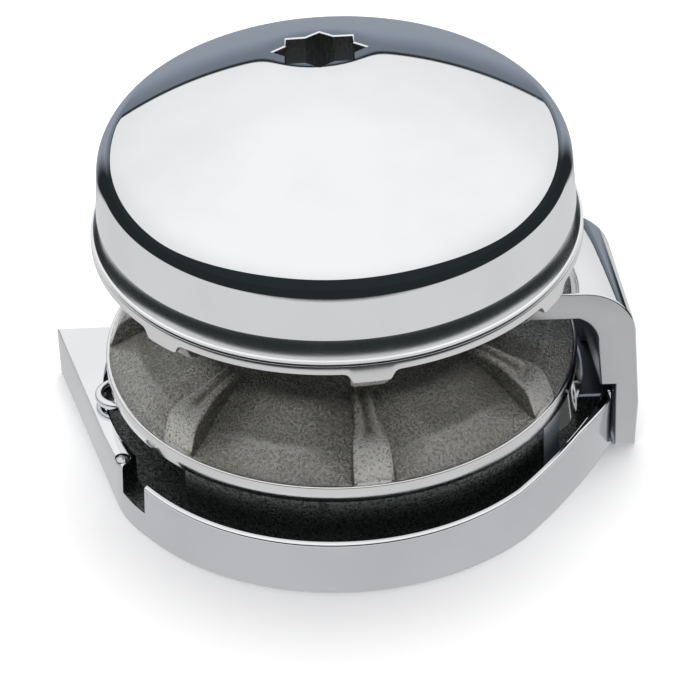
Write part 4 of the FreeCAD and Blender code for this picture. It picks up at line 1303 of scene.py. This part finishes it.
def pipe_outline():
    """A long hole with round ends, where the chain falls through the base."""
    points = []
    for y, first in ((PIPE_Y0, 180), (PIPE_Y1, 0)):
        turns = [math.radians(first + 180 * i / 20) for i in range(21)]
        points += [(PIPE_X + PIPE_R * math.cos(turn), y + PIPE_R * math.sin(turn)) for turn in turns]
    return points


print("chain pipe:", len(pipe_outline()), "points")

# %% Base with its fittings


def build_base():
    base = base_pan()
    join(base, ROUGH_AND_SHADED,
         upright("boss", 96, (SHAFT_BOSS_R, SUNK), (SHAFT_BOSS_R, SHAFT_BOSS_TOP - 0.4),
                 (SHAFT_BOSS_R - 0.4, SHAFT_BOSS_TOP)),
         upright("pivot_post", 48, (POST_R, SUNK), (POST_R, POST_TOP), **POST_PLACE))
    drum = drum_piece()
    # Painted shade under the wheel's rim: the drum's wall takes the dark well finish, and a dimmed bluish
    # plate towards the hood.
    mark_faces(drum, ROUGH_AND_SHADED)
    mark_faces(drum, DRUM, lambda centre, _: turn_of(centre) > DRUM_BRIGHT_FROM)
    boolean(base, drum, "UNION")
    for x in (-STUD_AT, STUD_AT):
        for y in (-STUD_AT, STUD_AT):
            join(base, ROUGH_AND_SHADED,
                 upright("stud_boss", 48, (STUD_BOSS_R, SUNK), (STUD_BOSS_R, STUD_BOSS_TOP - 0.3),
                         (STUD_BOSS_R - 0.3, STUD_BOSS_TOP), x=x, y=y))
            cut(base, ROUGH_AND_SHADED, upright("stud_hole", 40, (STUD_R + 0.6, BELOW), (STUD_R + 0.6, 0.0),
                                     (STUD_R, 0.6), (STUD_R, STUD_DEPTH), x=x, y=y))
    # The faces under the hood get a dark finish as painted shade.
    cut(base, UNDER, loft("under_hood", [(UNDER_HOOD, UNDER_HOOD_Z), (UNDER_HOOD, ABOVE)]))
    pipe, (screw_x, screw_y) = pipe_outline(), STOP_SCREW_AT
    pipe_mouth = inset(pipe, -0.6)
    cut(base, ROUGH_AND_SHADED, loft("pipe", [(pipe_mouth, BELOW), (pipe_mouth, 0.0), (pipe, 0.6), (pipe, ABOVE)]),
        upright("bearing", BORE_SIDES, (BEARING_R, BELOW), (BEARING_R, ABOVE + 2.0)),
        upright("relief", BORE_SIDES, (RELIEF_R, BELOW), (RELIEF_R, RELIEF_TOP)),
        upright("pivot_hole", 40, (PIN_HOLE_R, 5.0), (PIN_HOLE_R, 20.0), **POST_PLACE),
        upright("screw_seat", 32, (STOP_SCREW_R, STOP_SEAT_Z), (STOP_SCREW_R, ABOVE),
                x=screw_x, y=screw_y))
    for y in HOOD_SCREW_YS:
        cut(base, ROUGH_AND_SHADED, side_bore("screw_bore", y, 40, (-15.0, 4.6), (-6.0, 4.6), (-6.0, 2.7), (1.0, 2.7)))
    smooth(base.data, 26)
    # The outer wall's darker tint is painted shade: it stands in for the object's shadow on the floor that
    # the wall reflects.
    mark_faces(base, SIDE, is_outer_wall)
    # The step under the hood gets a dark finish as painted shade.
    mark_faces(base, UNDER, is_step_under_hood)
    give_finishes(base.data, "polished_base", "well_cast", "base_side", "drum_side", "under_hood")
    dress(base, "base", "base_plate")


build_base()

# %% [markdown]
# ## The chain hood
# The hood is an arch on one leg that keeps the chain on the wheel. It is one bent bar of even section,
# so it is drawn as its front outline and carried back along its lean.
# Both ends of the bar get a soft edge, made from outlines that are inset by a few tenths.
# The front face is brushed satin, the outside is a mirror, and the inside is brushed, with a dark colour that
# is painted shade under the arch.

# %% Hood outline
HOOD_TOP, HOOD_UNDER, HOOD_CLEAR_R, HOOD_EDGE = 50.5, 42.0, 51.5, 0.55
# How a rounded edge pulls in and reaches back, as shares of its radius.
ROUNDING = [(1.0, 0.0), (0.62, 0.08), (0.29, 0.29), (0.08, 0.62), (0.0, 1.0)]


def hood_outline():
    """Front outline in X and Z, from the leg's outer foot up and over to the tip and back down inside."""
    knee, crown = (77.3, 36.6), (64.0, HOOD_TOP - 0.3)
    outline_xz = [(77.6, 0.0), (78.3, 14.0)] + straight((78.3, 14.0), knee, 4)
    outline_xz += arc_in_plan(knee, (73.6, 45.9), crown, 22)
    outline_xz += [(44.0, HOOD_TOP), (44.0, HOOD_UNDER), (62.2, HOOD_UNDER)]
    outline_xz += arc_in_plan((62.2, HOOD_UNDER), (66.0, 38.9), (67.2, 34.0), 12)
    return outline_xz + [(68.2, 20.2), (LEG_IN_X, 20.2), (LEG_IN_X, 0.0)]


def leaning_bar(name, outline_xz, edge):
    """Carries an XZ outline back along the lean, with a rounded edge at both ends."""
    length = HOOD_LEAN.y
    steps = [(pull * edge, back * edge) for pull, back in ROUNDING] + [(0.0, length * 0.5)]
    steps += [(pull * edge, length - back * edge) for pull, back in reversed(ROUNDING)]
    return skin(name, [[(x + HOOD_LEAN.x * back / length, HOOD_Y0 + back, z)
                        for x, z in inset(outline_xz, pull)] for pull, back in steps])


print("hood outline:", len(hood_outline()), "points")

# %% Hood
SATIN, INSIDE = 1, 2  # numbers of the hood's finishes, after 0 for polished plate
RIB_R, RIB_BACK_X, RIB_YS = 65.3, 69.0, (9.0, 11.7, 14.4, 17.0, 19.6)
STRIPPER_SCREWS = ((55.8, -2.6), (55.8, 4.6))


def is_hood_inside(centre, normal):
    under = 1.0 < centre.z < HOOD_UNDER + 1.0 and normal.z < -0.3
    return under or (normal.x < -0.5 and centre.z < HOOD_UNDER - 0.1)


def closing_rib():
    """Short rib at the hood's rear that closes the gap beside the wheel."""
    rib = [(math.sqrt(RIB_R ** 2 - y * y), y) for y in RIB_YS]
    rib += [(RIB_BACK_X, RIB_YS[-1]), (RIB_BACK_X, RIB_YS[0])]
    return loft("rib", [(inset(rib, 0.3), 15.3), (rib, 15.6), (rib, HOOD_UNDER + 0.8)])


def build_hood():
    hood = leaning_bar("hood_arch", hood_outline(), HOOD_EDGE)
    need_slots(hood.data, 3)
    # The inside gets a dark finish as painted shade under the arch.
    for f in hood.data.polygons:
        inside = is_hood_inside(f.center / MM, f.normal)
        f.material_index = SATIN if abs(f.normal.y) > 0.9 else INSIDE if inside else 0
    join(hood, INSIDE, closing_rib())
    cut(hood, INSIDE, upright("clear", 180, (HOOD_CLEAR_R, 30.0), (HOOD_CLEAR_R, 60.0)))
    for x, y in STRIPPER_SCREWS:
        cut(hood, INSIDE, upright("stripper_hole", 32, (2.02, 41.0), (2.02, 47.5), x=x, y=y))
    for y in HOOD_SCREW_YS:
        cut(hood, INSIDE, side_bore("hood_thread", y, 32, (-1.0, 2.52), (3.2, 2.52)))
    smooth(hood.data, 32)
    give_finishes(hood.data, "polished_hood", "hood_satin", "hood_inside")
    dress(hood, "base", "chain_hood")


build_hood()

# %% [markdown]
# ## The pawl
# The pawl is a flat lever with a round eye at its free end, where a finger or a lanyard pulls it.
# The eye is a ring of nearly round section, so it is turned round its own centre.
# The lever and the ring are then joined with a Boolean, as the forging has no seam.

# %% Shapes of the pawl
PAWL_Z, PAWL_T, ARM_HALF, PAWL_EDGE = 15.6, 3.0, 3.4, 0.4
PIVOT, EYE = plan_polar(58.0, -125.0), plan_polar(60.7, -81.2)
PIVOT_BOSS_R, PIVOT_BORE_R, EYE_HOLE_R = 7.2, 5.0, 5.0
EYE_MID, EYE_HALF, EYE_POWER = (5.15, 17.1), (1.15, 1.2), 2.6
NOSE_R, NOSE_HALF, NOSE_LONG, NOSE_WIDE = 46.6, 2.6, 6, 4.68
NOSE_TURN, SLOPE_TURN, CLEAR_SWING = (math.radians(a) for a in (170.0, 164.5, -5.5))


def soft_plate(name, points, edge=PAWL_EDGE):
    """A plate of the pawl's thickness with softened upper and lower edges."""
    rows = [(edge, 0.0), (edge * 0.3, edge * 0.3), (0.0, edge)]
    loops = [(inset(points, pull), PAWL_Z + up) for pull, up in rows]
    return loft(name, loops + [(inset(points, pull), PAWL_Z + PAWL_T - up) for pull, up in reversed(rows)])


def eye_ring():
    """A ring whose section is a circle pushed a little towards a square."""
    section = []
    for i in range(20):
        a = 2 * math.pi * i / 20
        size = max(abs(math.cos(a)) ** EYE_POWER + abs(math.sin(a)) ** EYE_POWER, 1e-6)
        bulge = 1.0 / size ** (1 / EYE_POWER)
        section.append((EYE_MID[0] + EYE_HALF[0] * bulge * math.cos(a),
                        EYE_MID[1] + EYE_HALF[1] * bulge * math.sin(a)))
    verts, faces = turned_grid(section, 96)
    return solid_of("eye", [(x + EYE[0], y + EYE[1], z) for x, y, z in verts], faces)


def nose_points():
    """The pawl's nose: a blunt tooth that drops into a notch of the ratchet ring."""
    pivot = Vector(PIVOT)
    tip = Vector((NOSE_R * math.cos(NOSE_TURN), NOSE_R * math.sin(NOSE_TURN))) - pivot
    c, s = math.cos(CLEAR_SWING), math.sin(CLEAR_SWING)
    tip = Vector((tip.x * c - tip.y * s, tip.x * s + tip.y * c)) + pivot
    out = Vector((math.cos(SLOPE_TURN), math.sin(SLOPE_TURN)))
    side = Vector((-out.y, out.x))
    corners = [tip + side * NOSE_HALF, tip + side * NOSE_HALF + out * NOSE_LONG,
               tip - side * NOSE_WIDE + out * NOSE_LONG, tip - side * NOSE_HALF]
    return [(p.x, p.y) for p in corners]


print("pawl from", [round(v, 1) for v in PIVOT], "to", [round(v, 1) for v in EYE])

# %% Pawl


def build_pawl():
    along = (Vector(EYE) - Vector(PIVOT)).normalized()
    across = Vector((-along.y, along.x)) * ARM_HALF
    start, end = Vector(PIVOT), Vector(EYE) - along * EYE_HOLE_R
    arm = [(p.x, p.y) for p in (start + across, end + across, end - across, start - across)]
    pawl = soft_plate("pawl_forging", arm)
    boolean(pawl, soft_plate("boss", circle_in_plan(PIVOT_BOSS_R, 72, *PIVOT)), "UNION")
    boolean(pawl, soft_plate("nose", nose_points(), 0.3), "UNION")
    boolean(pawl, upright("eye_hole", 64, (EYE_HOLE_R, 0.0), (EYE_HOLE_R, 30.0), x=EYE[0], y=EYE[1]))
    boolean(pawl, eye_ring(), "UNION")
    boolean(pawl, upright("bore", 64, (PIVOT_BORE_R, 0.0), (PIVOT_BORE_R, 30.0), x=PIVOT[0], y=PIVOT[1]))
    smooth(pawl.data, 32)
    give_finishes(pawl.data, "polished_pawl")
    dress(pawl, "pawl", "pawl_lever")


build_pawl()

# %% [markdown]
# ## Screws, shaft and bearings
# The smaller pieces are right as they come, but their facets show on polished steel.
# Each gets a copy of its mesh: loose triangles are merged, flat neighbours are joined,
# and a narrow Bevel softens the edges, so that they catch light as machined edges do.
# The Bevel is applied at once, so what remains is a plain mesh.

# %% Softened copies of the small pieces


def soften(name, width):
    part = next(p for p in frame["record"]["subparts"] if p["node"] == name)
    body = next(b for b, members in frame["record"]["behaviour"]["bodies"].items() if name in members)
    mesh = nodes[name].data.copy()
    with editing(mesh) as bm:
        bmesh.ops.remove_doubles(bm, verts=bm.verts, dist=2e-6)
        bmesh.ops.dissolve_limit(bm, angle_limit=math.radians(0.6), verts=bm.verts, edges=bm.edges)
    o = bpy.data.objects.new(name + "_fine", mesh)
    bpy.context.scene.collection.objects.link(o)
    m = o.modifiers.new("soft edge", "BEVEL")
    m.width = width * MM
    m.segments = 2
    m.limit_method = "ANGLE"
    m.angle_limit = math.radians(35)
    make_plain(o)
    smooth(o.data, 28)
    give_finishes(o.data, part["material_slot"])
    dress(o, body, name)


soft_edges = {"main_shaft": 0.3, "ratchet_ring": 0.2, "chain_stripper": 0.25, "stripper_screws": 0.15,
              "hood_screws": 0.2, "ratchet_screws": 0.12, "stop_screw": 0.1, "pawl_pin": 0.15,
              "pawl_clip": 0.1, "lower_cone": 0.3, "upper_cone": 0.3, "thrust_ring": 0.15,
              "thrust_washer": 0.15,
              "shaft_washer": 0.15, "shaft_circlip": 0.15, "shaft_bush": 0.15, "wheel_bush": 0.2,
              "pawl_bush": 0.12, "cone_keys": 0.2, "shaft_seal": 0.12, "cap_seal": 0.12}
for name, width in soft_edges.items():
    soften(name, width)
